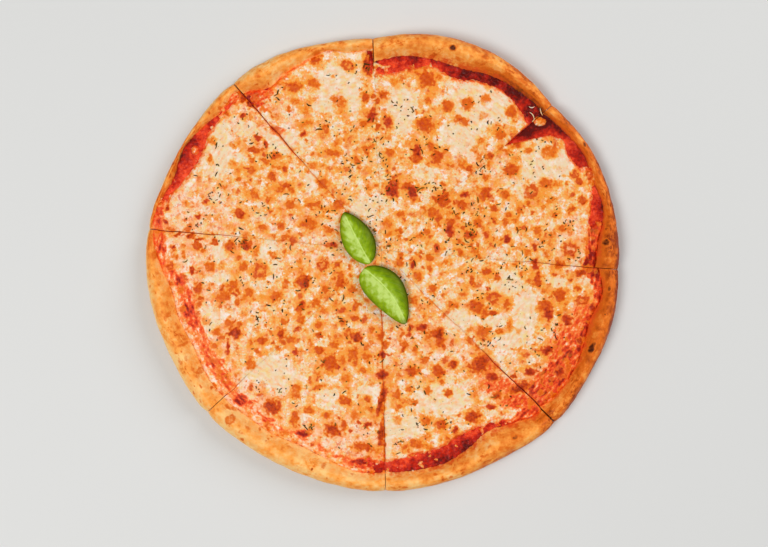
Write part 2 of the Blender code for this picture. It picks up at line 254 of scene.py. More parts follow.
@dataclass
class Layout:
    """Where the slices lie on the table, in metres."""

    tip_radius: float = 2.0 * MM
    kerf_at_tip: float = 0.4 * MM
    typical_radius: float = 150.0 * MM
    notch: float = 0.9 * MM
    notch_reach: float = 3.0 * MM
    kerf_least: float = 0.05 * MM
    kerf_reach: float = 2.0 * MM
    outline_steps: int = 40
    centre: Array = field(init=False)

    def __post_init__(self) -> None:
        """Finds the cut centre from the whole outline, whose middle is the origin."""
        self.centre = np.zeros(2)
        shares = np.linspace(0, 1, self.outline_steps)
        rims = [self.place(index, shares, self.outer(index, shares)) for index in range(len(WEDGES))]
        x, y = np.concatenate([rim[0] for rim in rims]), np.concatenate([rim[1] for rim in rims])
        self.centre = -np.array([(x.min() + x.max()) / 2, (y.min() + y.max()) / 2])

    @staticmethod
    def cut_angle(index: int) -> float:
        """The angle of a slice's first cut."""
        return math.radians(WEDGES[index % len(WEDGES)].start + 360 * (index // len(WEDGES)))

    def span(self, index: int) -> float:
        """The angle between a slice's cuts."""
        return self.cut_angle(index + 1) - self.cut_angle(index)

    def shares(self, index: int, pitch: float) -> Array:
        """Shares of a slice's angle that are this far apart at the rim, in metres."""
        return np.linspace(0, 1, round(self.span(index) * self.typical_radius / pitch) + 1)

    def reach(self, x: Array, y: Array) -> Array:
        """The distance of places from the cut centre."""
        return np.hypot(x - self.centre[0], y - self.centre[1])

    def turned(self, x: Array, y: Array) -> Array:
        """The angle of places round the cut centre, from -pi to pi."""
        return np.arctan2(y - self.centre[1], x - self.centre[0])

    def outer(self, index: int, share: Array) -> Array:
        """From the cut centre to the outer edge.

        Args:
            index: The slice.
            share: Shares of its angle.

        Returns:
            The radii.
        """
        knots = [radius for wedge in WEDGES for radius in wedge.outline]
        away = np.minimum(share, 1 - share) * self.span(index) * self.typical_radius
        smooth = catmull_rom(knots, 3 * (index + share), closed=True) * MM
        return smooth - self.notch * np.exp(-away / self.notch_reach)

    @staticmethod
    def along(values: tuple[float, ...], share: Array) -> Array:
        """A smooth value, in metres, at these shares of a row of evenly spaced ones."""
        read = catmull_rom(values, share * (len(values) - 1), closed=False)
        return np.maximum(read, min(values)) * MM

    def rim(self, index: int, share: Array) -> Array:
        """The width of bare dough."""
        return self.along(WEDGES[index].rim, share)

    def foot(self, index: int, share: Array) -> Array:
        """From the cut centre to the foot of the rim."""
        return self.outer(index, share) - self.rim(index, share)

    def cheese_edge(self, index: int, share: Array) -> Array:
        """From the cut centre to the edge of the cheese."""
        return self.foot(index, share) - self.along(WEDGES[index].sauce, share)

    def half_kerf(self, index: int, radius: Array) -> Array:
        """Half the width of a slice's first cut."""
        at_rim = WEDGES[index % len(WEDGES)].kerf * MM
        return (self.kerf_at_tip + (at_rim - self.kerf_at_tip) * radius / self.typical_radius) / 2

    def place(self, index: int, share: Array, radius: Array) -> Pair:
        """The places at these shares of a slice's angle and these radii, drawn in from both cuts.

        Args:
            index: The slice.
            share: Shares of its angle.
            radius: Distances from the cut centre.

        Returns:
            X and Y on the table.
        """
        first, last = self.cut_angle(index), self.cut_angle(index + 1)
        angle = first + share * (last - first)
        from_first = self.half_kerf(index, radius) * (1 - share)
        from_last = self.half_kerf(index + 1, radius) * share
        x = radius * np.cos(angle) - from_first * math.sin(first) + from_last * math.sin(last)
        y = radius * np.sin(angle) + from_first * math.cos(first) - from_last * math.cos(last)
        return x + self.centre[0], y + self.centre[1]

    def find(self, x: Array, y: Array) -> tuple[Array, Array, Array]:
        """The slice under each place, the share of its angle, and the distance from the cut centre.

        Args:
            x: Places along X.
            y: Places along Y.

        Returns:
            Slice indices, shares and radii.
        """
        angle = self.turned(x, y) % (2 * np.pi)
        starts = np.array([self.cut_angle(index) for index in range(len(WEDGES) + 1)])
        spot = np.searchsorted(starts, angle, side="right") - 1
        spans = np.diff(np.append(starts, starts[1] + 2 * np.pi))
        return spot % len(WEDGES), (angle - starts[spot]) / spans[spot], self.reach(x, y)

    def from_cut(self, number: int, side: int, x: Array, y: Array) -> Pair:
        """Where places lie beside a cut.

        Args:
            number: The cut.
            side: 1 for the slice after the cut, -1 for the one before it.
            x: Places along X.
            y: Places along Y.

        Returns:
            The distance from the cut's middle plane, and the distance out along it.
        """
        angle = self.cut_angle(number)
        away_x, away_y = x - self.centre[0], y - self.centre[1]
        return (side * (away_y * math.cos(angle) - away_x * math.sin(angle)),
                away_x * math.cos(angle) + away_y * math.sin(angle))

    def to_cuts(self, index: int, x: Array, y: Array) -> Array:
        """The distance from places on a slice to the nearer of its cut faces."""
        gaps = []
        for number, side in cuts(index):
            away, radius = self.from_cut(number, side, x, y)
            gaps.append(away - self.half_kerf(number, radius))
        return np.minimum(*gaps)

    def draw_together(self, index: int, x: Array, y: Array, closed: Array | float) -> Pair:
        """Moves a slice's cut faces towards its neighbours.

        Args:
            index: The slice.
            x: Places along X.
            y: Places along Y.
            closed: How much of the cut's width each place closes, from 0 to 1.

        Returns:
            The places after the change.
        """
        moved_x, moved_y = x.copy(), y.copy()
        for number, side in cuts(index):
            away, radius = self.from_cut(number, side, x, y)
            half = self.half_kerf(number, radius)
            fade = np.exp(-np.maximum(away - half, 0) / self.kerf_reach)
            shift = side * np.maximum(half - self.kerf_least, 0) * fade * closed
            moved_x += shift * math.sin(self.cut_angle(number))
            moved_y -= shift * math.cos(self.cut_angle(number))
        return moved_x, moved_y

    def cut_face(self, number: int, side: int, gap: float) -> tuple[Vector, Vector]:
        """A face that follows one of the cuts.

        Args:
            number: The cut.
            side: 1 for the slice after the cut, -1 for the one before it.
            gap: Its distance from the cut's middle plane.

        Returns:
            A point of the face, and its normal, which points off the slice.
        """
        angle = self.cut_angle(number)
        outward = Vector((math.sin(angle), -math.cos(angle), 0)) * side
        return Vector((*self.centre, 0)) - outward * gap, outward


@dataclass
class Layers:
    """Heights of the layers, in metres, and the surfaces of the dough and the cheese."""

    layout: Layout
    dough: float = 6.0 * MM
    sauce_top: float = 7.5 * MM
    cheese_top: float = 10.6 * MM
    rim_lowest: float = 8.6 * MM
    rim_rise: float = 0.46
    rim_lumps: float = 0.09
    rim_lump_size: float = 22 * MM
    rim_seed: float = 3
    rim_shoulder: float = 0.36
    shoulder_reach: float = 4.5 * MM
    cheese_shoulder: float = 1.1 * MM
    cheese_lumps: float = 0.45 * MM
    cheese_lump_size: float = 17 * MM
    cheese_seed: float = 8
    lump_gain: float = 1.6

    def lumps(self, x: Array, y: Array, size: float, seed: float) -> Array:
        """The same smooth unevenness that the solids have.

        Args:
            x: Places along X.
            y: Places along Y.
            size: The size of its bumps.
            seed: Picks the pattern.

        Returns:
            Values between about -1 and 1.
        """
        shift = Vector((seed, seed, seed))
        spots = zip((x - self.layout.centre[0]) / size, (y - self.layout.centre[1]) / size)
        return self.lump_gain * np.array([noise.noise(Vector((u, v, 0)) + shift) for u, v in spots])

    def crest(self, index: int, share: Array) -> Array:
        """The height of the rim's top.

        Args:
            index: The slice.
            share: Shares of its angle.

        Returns:
            The heights.
        """
        edge = self.layout.outer(index, share)
        away = np.minimum(share, 1 - share) * self.layout.span(index) * edge
        sunk = self.rim_shoulder * np.exp(-away / self.shoulder_reach)
        x, y = self.layout.place(index, share, edge)
        uneven = 1 + self.rim_lumps * self.lumps(x, y, self.rim_lump_size, self.rim_seed)
        rise = self.rim_lowest - self.dough + self.rim_rise * self.layout.rim(index, share)
        return self.dough + rise * uneven * (1 - sunk)


# Materials

class Recipe:
    """Writes a material's nodes in short lines."""

    def __init__(self, name: str) -> None:
        """Starts a material.

        Args:
            name: The material's name.
        """
        self.material = bpy.data.materials.new(name)
        self.material.use_nodes = True
        self.tree = self.material.node_tree
        self.shader = self.tree.nodes["Principled BSDF"]
        self.places = self.tree.nodes.new("ShaderNodeTexCoord").outputs["Object"]

    def join(self, value: object, socket: Socket) -> None:
        """Links a socket to another, or writes a plain value in it."""
        if isinstance(value, Socket):
            self.tree.links.new(value, socket)
        else:
            socket.default_value = value

    def node(self, kind: str, **inputs: object) -> bpy.types.Node:
        """Adds a node and joins its inputs, by name, with _ for a space."""
        made = self.tree.nodes.new("ShaderNode" + kind)
        for name, value in inputs.items():
            self.join(value, made.inputs[name.replace("_", " ")])
        return made

    def painted(self, name: str) -> Socket:
        """Reads a value that is stored on the mesh."""
        reader = self.node("Attribute")
        reader.attribute_name = name
        return reader.outputs["Fac"]

    def grain(self, size: float, detail: float = 3.0, roughness: float = 0.5) -> Socket:
        """Noise with bumps of a real size.

        Args:
            size: The size of its bumps, in metres.
            detail: How many finer layers it has.
            roughness: How strong they are.

        Returns:
            A value between 0 and 1, mostly near 0.5.
        """
        texture = self.node("TexNoise", Vector=self.places, Scale=1 / size, Detail=detail,
                            Roughness=roughness)
        return texture.outputs["Fac"]

    def swing(self, size: float, detail: float = 3.0, roughness: float = 0.5) -> Socket:
        """The same noise as grain's, shifted to lie round 0."""
        return self.compute("SUBTRACT", self.grain(size, detail, roughness), 0.5)

    def cells(self, size: float) -> tuple[Socket, Socket]:
        """Scattered cells.

        Args:
            size: The spacing of the cells, in metres.

        Returns:
            The distance to the nearest cell's middle, and a random colour for each cell.
        """
        texture = self.node("TexVoronoi", Vector=self.places, Scale=1 / size)
        return texture.outputs["Distance"], texture.outputs["Color"]

    def stretch(self, value: object, low: float, high: float, to_low: float = 0.0,
                to_high: float = 1.0) -> Socket:
        """Maps one range of values to another, smoothly and within its ends.

        Args:
            value: What is mapped.
            low: The low end of the first range.
            high: The high end of the first range.
            to_low: What low becomes.
            to_high: What high becomes.

        Returns:
            The mapped value.
        """
        mapper = self.node("MapRange", Value=value, From_Min=low, From_Max=high, To_Min=to_low,
                           To_Max=to_high)
        mapper.interpolation_type = "SMOOTHSTEP"
        return mapper.outputs["Result"]

    def compute(self, operation: str, first: object, second: object) -> Socket:
        """One step of arithmetic.

        Args:
            operation: The Math node's operation.
            first: Its first value.
            second: Its second value.

        Returns:
            The result.
        """
        step = self.node("Math")
        step.operation = operation
        self.join(first, step.inputs[0])
        self.join(second, step.inputs[1])
        return step.outputs["Value"]

    def plus(self, first: object, second: object) -> Socket:
        """The sum of two values."""
        return self.compute("ADD", first, second)

    def times(self, first: object, second: object) -> Socket:
        """The product of two values."""
        return self.compute("MULTIPLY", first, second)

    def blend(self, share: object, first: object, second: object) -> Socket:
        """Mixes two colours.

        Args:
            share: How much of the second.
            first: A colour, as numbers or a socket.
            second: The other colour.

        Returns:
            The mixed colour.
        """
        mixer = self.node("Mix")
        mixer.data_type = "RGBA"
        self.join(share, mixer.inputs[0])
        self.join(first, mixer.inputs[6])
        self.join(second, mixer.inputs[7])
        return mixer.outputs[2]

    def ramp(self, value: object, *stops: tuple[float, Colour]) -> Socket:
        """Turns a value into a colour.

        Args:
            value: What is turned.
            stops: Positions and their colours, in order.

        Returns:
            The colour.
        """
        band = self.node("ValToRGB", Fac=value)
        knots = band.color_ramp.elements
        while len(knots) < len(stops):
            knots.new(0.5)
        for knot, (position, colour) in zip(knots, stops):
            knot.position = position
            knot.color = colour
        return band.outputs["Color"]

    def bump(self, height: object, distance: float, before: object = None) -> Socket:
        """Tilts the surface by a height, on top of an earlier bump.

        Args:
            height: The height's pattern.
            distance: What 1 of it stands for, in metres.
            before: An earlier bump's output.

        Returns:
            The normal.
        """
        tilt = self.node("Bump", Height=height, Distance=distance, Strength=1.0)
        if before is not None:
            self.join(before, tilt.inputs["Normal"])
        return tilt.outputs["Normal"]

    def finish(self, colour: object, roughness: object, normal: object, **constants: object) -> Material:
        """Joins the results to the shader.

        Args:
            colour: The base colour.
            roughness: The roughness.
            normal: The bumped normal, or None.
            constants: Other inputs of the shader, by name, with _ for a space.

        Returns:
            The material.
        """
        if normal is not None:
            self.join(normal, self.shader.inputs["Normal"])
        for name, value in {"Base_Color": colour, "Roughness": roughness, **constants}.items():
            self.join(value, self.shader.inputs[name.replace("_", " ")])
        return self.material


CHEESE_VALUES = ("toast", "warm", "soak", "thin", "pool", "red")


@dataclass(frozen=True)
class CheeseFinish:
    """Melted cheese: cream where it pooled, golden and orange where it toasted, pink over thin sauce, with
    whitish patches of painted sheen.
    """

    sheen_white: Colour = linear(244, 233, 222)
    cream: Colour = linear(233, 212, 175)
    lemon: Colour = linear(238, 208, 118)
    butter: Colour = linear(241, 184, 102)
    gold: Colour = linear(240, 149, 46)
    orange: Colour = linear(232, 114, 16)
    rust: Colour = linear(204, 70, 0)
    brown: Colour = linear(126, 35, 2)
    coral: Colour = linear(234, 112, 56)
    brick: Colour = linear(196, 50, 12)
    wine: Colour = linear(114, 18, 4)
    pink: Colour = linear(246, 200, 170)
    rash: Colour = linear(216, 92, 56)
    tangerine: Colour = linear(250, 146, 66)
    scarlet: Colour = linear(234, 72, 24)
    crimson: Colour = linear(140, 18, 4)
    speck: Colour = linear(110, 92, 28)
    fine_size: float = 1.3 * MM
    blotch_size: float = 3.2 * MM
    tint_size: float = 4.4 * MM
    sheen_size: float = 3.6 * MM
    dot_size: float = 2.1 * MM
    speck_spacing: float = 2.0 * MM

    def material(self) -> Material:
        """Builds the material."""
        recipe = Recipe("melted_cheese")
        toast, warm, soak, thin, pool, red = [recipe.painted(name) for name in CHEESE_VALUES]
        fine = recipe.swing(self.fine_size, 4, 0.62)
        blotch = recipe.swing(self.blotch_size, 3, 0.6)
        rough = recipe.times(recipe.plus(fine, blotch), recipe.stretch(pool, 0.2, 0.9, 1.0, 0.3))
        warmth = recipe.plus(warm, recipe.times(rough, 1.6))
        ground = recipe.ramp(warmth, (0.05, self.cream), (0.4, self.butter), (0.9, self.gold))
        tint = recipe.stretch(recipe.grain(self.tint_size, 2), 0.48, 0.68, 0.0, 0.6)
        ground = recipe.blend(recipe.times(tint, recipe.stretch(warmth, 0.6, 0.2)), ground, self.lemon)
        # Painted sheen: whitish patches that stand for gloss reflections of the lamps, fewer on warm and
        # pooled cheese.
        clear = recipe.stretch(recipe.grain(self.sheen_size, 2), 0.46, 0.72, 0.0, 0.95)
        clear = recipe.times(clear, recipe.stretch(warmth, 0.7, 0.25))
        clear = recipe.times(clear, recipe.stretch(pool, 0.2, 0.9, 1.0, 0.7))
        ground = recipe.blend(clear, ground, self.sheen_white)
        film = recipe.plus(thin, recipe.times(rough, 0.5))
        ground = recipe.blend(recipe.stretch(film, 0.2, 1.0, 0.0, 0.75), ground, self.pink)
        dots = recipe.times(recipe.stretch(recipe.grain(self.dot_size, 4), 0.54, 0.66),
                            recipe.stretch(thin, 0.1, 0.9, 0.0, 0.8))
        ground = recipe.blend(dots, ground, self.rash)
        wet = recipe.plus(soak, recipe.times(rough, 0.7))
        soaked = recipe.ramp(wet, (0.2, self.tangerine), (0.55, self.scarlet), (1.0, self.crimson))
        soaking = recipe.times(recipe.stretch(soak, 0.0, 0.2), recipe.stretch(wet, 0.0, 0.38))
        ground = recipe.blend(soaking, ground, soaked)
        mottled = recipe.plus(toast, recipe.times(rough, 0.6))
        scorched = recipe.ramp(mottled, (0.1, self.gold), (0.4, self.orange), (0.76, self.rust),
                               (1.0, self.brown))
        reddened = recipe.ramp(mottled, (0.1, self.coral), (0.65, self.brick), (1.0, self.wine))
        scorched = recipe.blend(red, scorched, reddened)
        colour = recipe.blend(recipe.stretch(mottled, 0.06, 0.5), ground, scorched)
        distance, chance = recipe.cells(self.speck_spacing)
        dust = recipe.times(recipe.stretch(distance, 0.16, 0.1), recipe.stretch(chance, 0.5, 0.58))
        colour = recipe.blend(recipe.times(dust, 0.7), colour, self.speck)
        relief = recipe.bump(recipe.grain(0.9 * MM, 3, 0.6), 0.24 * MM)
        relief = recipe.bump(recipe.grain(2.6 * MM, 2), 0.5 * MM, relief)
        shine = recipe.stretch(recipe.grain(3.5 * MM, 2), 0.3, 0.7, 0.28, 0.44)
        return recipe.finish(colour, shine, relief, Subsurface_Weight=0.08, Subsurface_Scale=0.001,
                             Subsurface_Radius=(1.0, 0.5, 0.2), Specular_IOR_Level=0.13)


@dataclass(frozen=True)
class DoughFinish:
    """Baked dough: pale underneath, golden on the rim, with darker scorched marks."""

    pale: Colour = linear(255, 202, 126)
    golden: Colour = linear(254, 164, 70)
    amber: Colour = linear(228, 112, 26)
    brown: Colour = linear(150, 54, 4)
    char: Colour = linear(74, 26, 8)
    soaked: Colour = linear(228, 88, 30)
    cloud_size: float = 8 * MM
    fine_size: float = 1.6 * MM

    def material(self) -> Material:
        """Builds the material."""
        recipe = Recipe("baked_dough")
        bake, mark = recipe.painted("bake"), recipe.painted("mark")
        cloud, fine = recipe.swing(self.cloud_size, 5, 0.6), recipe.swing(self.fine_size, 3, 0.6)
        baked = recipe.plus(bake, recipe.times(cloud, 0.8))
        baked = recipe.plus(baked, recipe.times(fine, 0.4))
        colour = recipe.ramp(baked, (0.0, self.pale), (0.32, self.golden), (0.62, self.amber),
                             (1.0, self.brown))
        marked = recipe.plus(mark, recipe.times(fine, 0.6))
        colour = recipe.blend(recipe.stretch(marked, 0.15, 0.6), colour, self.amber)
        colour = recipe.blend(recipe.stretch(marked, 0.6, 1.05), colour, self.char)
        wet = recipe.plus(recipe.painted("soak"), recipe.times(fine, 0.8))
        colour = recipe.blend(recipe.stretch(wet, 0.2, 0.8), colour, self.soaked)
        relief = recipe.bump(recipe.grain(0.8 * MM, 3, 0.6), 0.16 * MM)
        relief = recipe.bump(recipe.grain(3.0 * MM, 3, 0.55), 0.5 * MM, relief)
        shine = recipe.stretch(recipe.grain(5 * MM, 2), 0.3, 0.7, 0.42, 0.6)
        return recipe.finish(colour, shine, relief, Subsurface_Weight=0.06, Subsurface_Scale=0.0012,
                             Subsurface_Radius=(1.0, 0.5, 0.25), Specular_IOR_Level=0.14)


@dataclass(frozen=True)
class SauceFinish:
    """Cooked tomato sauce: wet, grainy and deep red, brighter where it is thin."""

    bright: Colour = linear(246, 82, 38)
    deep: Colour = linear(186, 30, 8)
    dark: Colour = linear(92, 8, 2)
    pulp_size: float = 1.7 * MM

    def material(self) -> Material:
        """Builds the material."""
        recipe = Recipe("tomato_sauce")
        baked = recipe.painted("bake")
        pulp = recipe.swing(self.pulp_size, 3, 0.6)
        tone = recipe.plus(baked, recipe.times(pulp, 1.3))
        colour = recipe.ramp(tone, (0.0, self.bright), (0.5, self.deep), (1.0, self.dark))
        relief = recipe.bump(recipe.grain(1.1 * MM, 3, 0.6), 0.3 * MM)
        return recipe.finish(colour, recipe.stretch(pulp, -0.2, 0.2, 0.26, 0.42), relief,
                             Subsurface_Weight=0.08, Subsurface_Scale=0.001, Specular_IOR_Level=0.12)


@dataclass(frozen=True)
class HerbFinish:
    """Dried oregano: brittle flakes from olive green to nearly black."""

    olive: Colour = linear(128, 92, 24)
    green: Colour = linear(72, 50, 8)
    dark: Colour = linear(32, 18, 2)

    def material(self) -> Material:
        """Builds the material."""
        recipe = Recipe("dried_herbs")
        kind = recipe.painted("kind")
        colour = recipe.ramp(kind, (0.0, self.dark), (0.5, self.green), (1.0, self.olive))
        relief = recipe.bump(recipe.grain(0.4 * MM, 2), 0.08 * MM)
        return recipe.finish(colour, 0.8, relief, Specular_IOR_Level=0.1)


@dataclass(frozen=True)
class LeafFinish:
    """Fresh basil: glossy green with a pale midrib, painted sheen on the half towards the light, and painted
    olive shade on the half that turns away from it, with darker margins and tip.
    """

    young_green_and_sheen: Colour = linear(192, 216, 112)
    fresh: Colour = linear(146, 176, 20)
    green: Colour = linear(98, 130, 0)
    deep: Colour = linear(70, 80, 0)
    vein: Colour = linear(204, 228, 120)

    def material(self) -> Material:
        """Builds the material."""
        recipe = Recipe("basil_leaf")
        vein, rim, quilt = recipe.painted("vein"), recipe.painted("rim"), recipe.painted("quilt")
        # quilt holds the puffing with painted sheen on the lit half; rim holds painted shade on the half away
        # from the light, with darker margins and tip.
        tone = recipe.plus(quilt, recipe.times(recipe.grain(3.4 * MM, 3), 0.86))
        colour = recipe.ramp(tone, (0.35, self.green), (0.75, self.fresh), (1.1, self.young_green_and_sheen))
        colour = recipe.blend(rim, colour, self.deep)
        colour = recipe.blend(vein, colour, self.vein)
        relief = recipe.bump(recipe.grain(0.7 * MM, 2), 0.06 * MM)
        return recipe.finish(colour, 0.4, relief, Subsurface_Weight=0.05, Subsurface_Scale=0.0006,
                             Subsurface_Radius=(0.5, 1.0, 0.2), Specular_IOR_Level=0.06)


# Meshes

def paint(mesh: Mesh, name: str, values: Array) -> None:
    """Stores a value at each point of a mesh, under the name that its material reads."""
    layer = mesh.attributes.new(name, "FLOAT", "POINT")
    layer.data.foreach_set("value", np.asarray(values, np.float32))


def corners(mesh: Mesh) -> Array:
    """The places of a mesh's points, one row each."""
    flat = np.empty(len(mesh.vertices) * 3, np.float32)
    mesh.vertices.foreach_get("co", flat)
    return flat.reshape(-1, 3).astype(float)


def move_corners(mesh: Mesh, places: Array) -> None:
    """Puts a mesh's points at new places."""
    mesh.vertices.foreach_set("co", places.astype(np.float32).ravel())
    mesh.update()


def sheet(name: str, columns: int, rows: int) -> tuple[Mesh, Array, Array]:
    """A flat grid to bend into shape.

    Args:
        name: The mesh's name.
        columns: Cells along X.
        rows: Cells along Y.

    Returns:
        The mesh, and each point's share of the way along X and Y.
    """
    grid = bmesh.new()
    bmesh.ops.create_grid(grid, x_segments=columns, y_segments=rows, size=1)
    mesh = bpy.data.meshes.new(name)
    grid.to_mesh(mesh)
    grid.free()
    places = corners(mesh)
    return mesh, (places[:, 0] + 1) / 2, (places[:, 1] + 1) / 2


def loft(name: str, rings: Array) -> tuple[Mesh, Array, Array]:
    """A flat grid to bend through rings of points.

    Args:
        name: The mesh's name.
        rings: Any value of the points, one row for each ring.

    Returns:
        The mesh, and the ring and the place in it of each of its points.
    """
    last_ring, last_point = rings.shape[0] - 1, rings.shape[1] - 1
    mesh, across, along = sheet(name, last_point, last_ring)
    return mesh, np.round(along * last_ring).astype(int), np.round(across * last_point).astype(int)


def stand(name: str, mesh: Mesh, finish: Material, sharp: float,
          replaces: tuple[str, ...] = ()) -> bpy.types.Object:
    """Puts a finished mesh in the scene as a piece of the pizza.

    Args:
        name: The piece's name.
        mesh: Its mesh, in its place.
        finish: Its material.
        sharp: Edges are sharp above this angle, in degrees.
        replaces: The nodes that it stands for.

    Returns:
        The piece.
    """
    mesh.shade_smooth()
    mesh.set_sharp_from_angle(angle=math.radians(sharp))
    mesh.materials.append(finish)
    piece = bpy.data.objects.new(name, mesh)
    bpy.context.scene.collection.objects.link(piece)
    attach(piece, BODY)
    if replaces:
        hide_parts(*replaces)
    log.info("%s: %d faces", name, len(mesh.polygons))
    return piece


def stand_slices(name: str, layer: str, finish: Material,
                 mesh_of: Callable[[int], Mesh]) -> None:
    """Puts one layer of every slice in the scene.

    Args:
        name: The pieces' name, before their number.
        layer: The layer's name in the nodes.
        finish: Its material.
        mesh_of: Builds the mesh of one slice, from its index.
    """
    for index in range(len(WEDGES)):
        node = f"slice_{index + 1}_{layer}"
        stand(f"{name}_{index + 1}", mesh_of(index), finish, SLICE_CREASE, (node,))


def close_loft(mesh: Mesh) -> None:
    """Closes a bent sheet whose rows are rings: joins each ring's ends and fills both cut faces."""
    shell = bmesh.new()
    shell.from_mesh(mesh)
    bmesh.ops.remove_doubles(shell, verts=shell.verts, dist=TOUCHING)
    open_edges = [edge for edge in shell.edges if edge.is_boundary]
    bmesh.ops.holes_fill(shell, edges=open_edges, sides=0)
    bmesh.ops.recalc_face_normals(shell, faces=shell.faces)
    shell.to_mesh(mesh)
    shell.free()


# The cheese

@dataclass(frozen=True)
class Patch:
    """An oval stretch of the pizza. Its middle and its full sizes are in the picture's pixels."""

    across: float
    down: float
    wide: float
    high: float
    strength: float = 1.0

    def share(self, x: Array, y: Array, soft: float = 0.35) -> Array:
        """How much of the patch lies at each place.

        Args:
            x: Places along X.
            y: Places along Y.
            soft: How far its edge fades, as a share of its size.

        Returns:
            Values from 0 to its strength.
        """
        middle = on_table(self.across, self.down)
        away = np.hypot((x - middle[0]) / (self.wide * PIXEL / 2), (y - middle[1]) / (self.high * PIXEL / 2))
        return self.strength * ease(1 + soft, 1 - soft, away)


def cover(patches: tuple[Patch, ...], x: Array, y: Array, soft: float = 0.35) -> Array:
    """The strongest of some patches at each place."""
    return np.max([patch.share(x, y, soft) for patch in patches], axis=0)


def ovals(*rows: tuple[float, ...]) -> tuple[Patch, ...]:
    """Makes a patch of each row of numbers."""
    return tuple(Patch(*row) for row in rows)


POOLS = ovals(
    (338, 85, 44, 40), (480, 105, 70, 44), (545, 165, 50, 40), (462, 135, 40, 38), (525, 312, 22, 58),
    (440, 400, 60, 30), (406, 426, 38, 20), (268, 370, 44, 26), (212, 318, 24, 24), (215, 150, 36, 56),
    (245, 128, 22, 16), (219, 279, 28, 10), (281, 140, 30, 26), (388, 430, 8, 60), (358, 207, 12, 12),
    (460, 319, 36, 22), (492, 321, 28, 14), (507, 283, 28, 24), (508, 340, 24, 18), (322, 105, 20, 12),
    (352, 97, 16, 40), (402, 108, 30, 50), (372, 205, 50, 20, 0.6), (312, 182, 14, 22),
    (218, 250, 14, 26, 0.8), (270, 262, 24, 40, 0.7), (370, 392, 26, 14, 0.7), (330, 400, 24, 20, 0.6),
    (286, 380, 40, 30, 0.7), (425, 172, 30, 16, 0.7), (523, 190, 16, 20, 0.9), (558, 282, 16, 14, 0.8),
    (590, 285, 12, 20, 0.8),
)
TOASTED = ovals(
    (382, 118, 30, 42), (424, 152, 40, 34), (470, 215, 80, 48), (400, 187, 44, 26), (262, 165, 54, 44),
    (300, 215, 62, 36), (320, 195, 36, 34), (304, 296, 22, 44), (232, 305, 34, 60), (350, 358, 64, 40),
    (428, 335, 40, 34), (484, 306, 32, 30), (552, 370, 40, 60), (565, 293, 60, 54), (448, 200, 40, 30),
    (262, 335, 50, 30), (400, 350, 40, 50), (330, 425, 60, 24), (490, 240, 70, 20), (408, 250, 60, 50, 0.6),
    (345, 300, 50, 70, 0.6), (505, 215, 60, 50, 0.8),
)
THIN = ovals(
    (190, 240, 90, 150, 0.35), (205, 320, 80, 110, 0.35), (245, 400, 80, 60, 0.4), (262, 120, 70, 60, 0.3),
    (300, 240, 120, 60, 0.2), (350, 440, 110, 50, 0.35), (548, 395, 50, 60, 0.65), (572, 350, 36, 70, 0.5),
    (500, 385, 60, 40, 0.35), (280, 375, 60, 40, 0.25), (452, 338, 90, 60, 0.25), (575, 250, 40, 60, 0.3),
    (480, 165, 70, 40, 0.25), (385, 105, 30, 30, 0.2), (395, 340, 60, 80, 0.25),
)
ISLANDS = ovals(
    (540.5, 121.5, 12, 9), (195, 150, 8, 9), (222, 300, 12, 22), (205, 268, 16, 20), (190, 262, 10, 12),
    (355, 60, 24, 18), (232, 95, 14, 8), (325, 63, 50, 14), (300, 78, 30, 10), (586, 178, 22, 22),
    (256, 388, 20, 24),
)
BITES = ovals((371.5, 62, 4, 24))
# Painted shade: darker sauce in the notches where the cuts meet the rim.
CUT_NOTCH_SHADE = ovals((371, 64, 14, 26), (186, 234, 40, 12), (549, 412, 14, 14))
STAINED = ovals(
    (568, 360, 40, 76, 0.5), (552, 395, 34, 34, 0.6), (583, 325, 24, 60, 0.42), (500, 386, 46, 18, 0.42),
    (520, 402, 44, 16, 0.5), (484, 366, 20, 24, 0.4), (180, 281, 12, 14, 0.7), (188, 310, 14, 18, 0.75),
    (193, 323, 12, 9, 0.65), (212, 364, 12, 9, 0.65), (205, 350, 12, 12, 0.5), (268, 420, 14, 5, 0.6),
    (252, 402, 10, 4, 0.6), (240, 400, 13, 12, 0.85), (224, 377, 9, 9, 0.7), (303, 434, 16, 8, 0.8),
    (360, 462, 24, 8, 0.8), (549, 410, 8, 10, 0.9), (265, 108, 12, 8, 0.36), (279, 132, 18, 9, 0.34),
    (594, 262, 8, 30, 0.9),
)


class Tone(Enum):
    """How dark a blister is, how red, how hollow in the middle, and its height in millimetres."""

    PALE = (0.34, 0.0, 0.0, 0.3)
    GOLDEN = (0.5, 0.0, 0.2, 0.5)
    ORANGE = (0.67, 0.05, 0.22, 0.8)
    DEEP = (0.82, 0.15, 0.22, 1.0)
    RED = (0.8, 0.75, 0.0, 0.7)
    BROWN_AND_CUT_SHADE = (0.9, 0.25, 0.1, 0.8)
    RINGED = (0.84, 0.5, 0.7, 1.2)


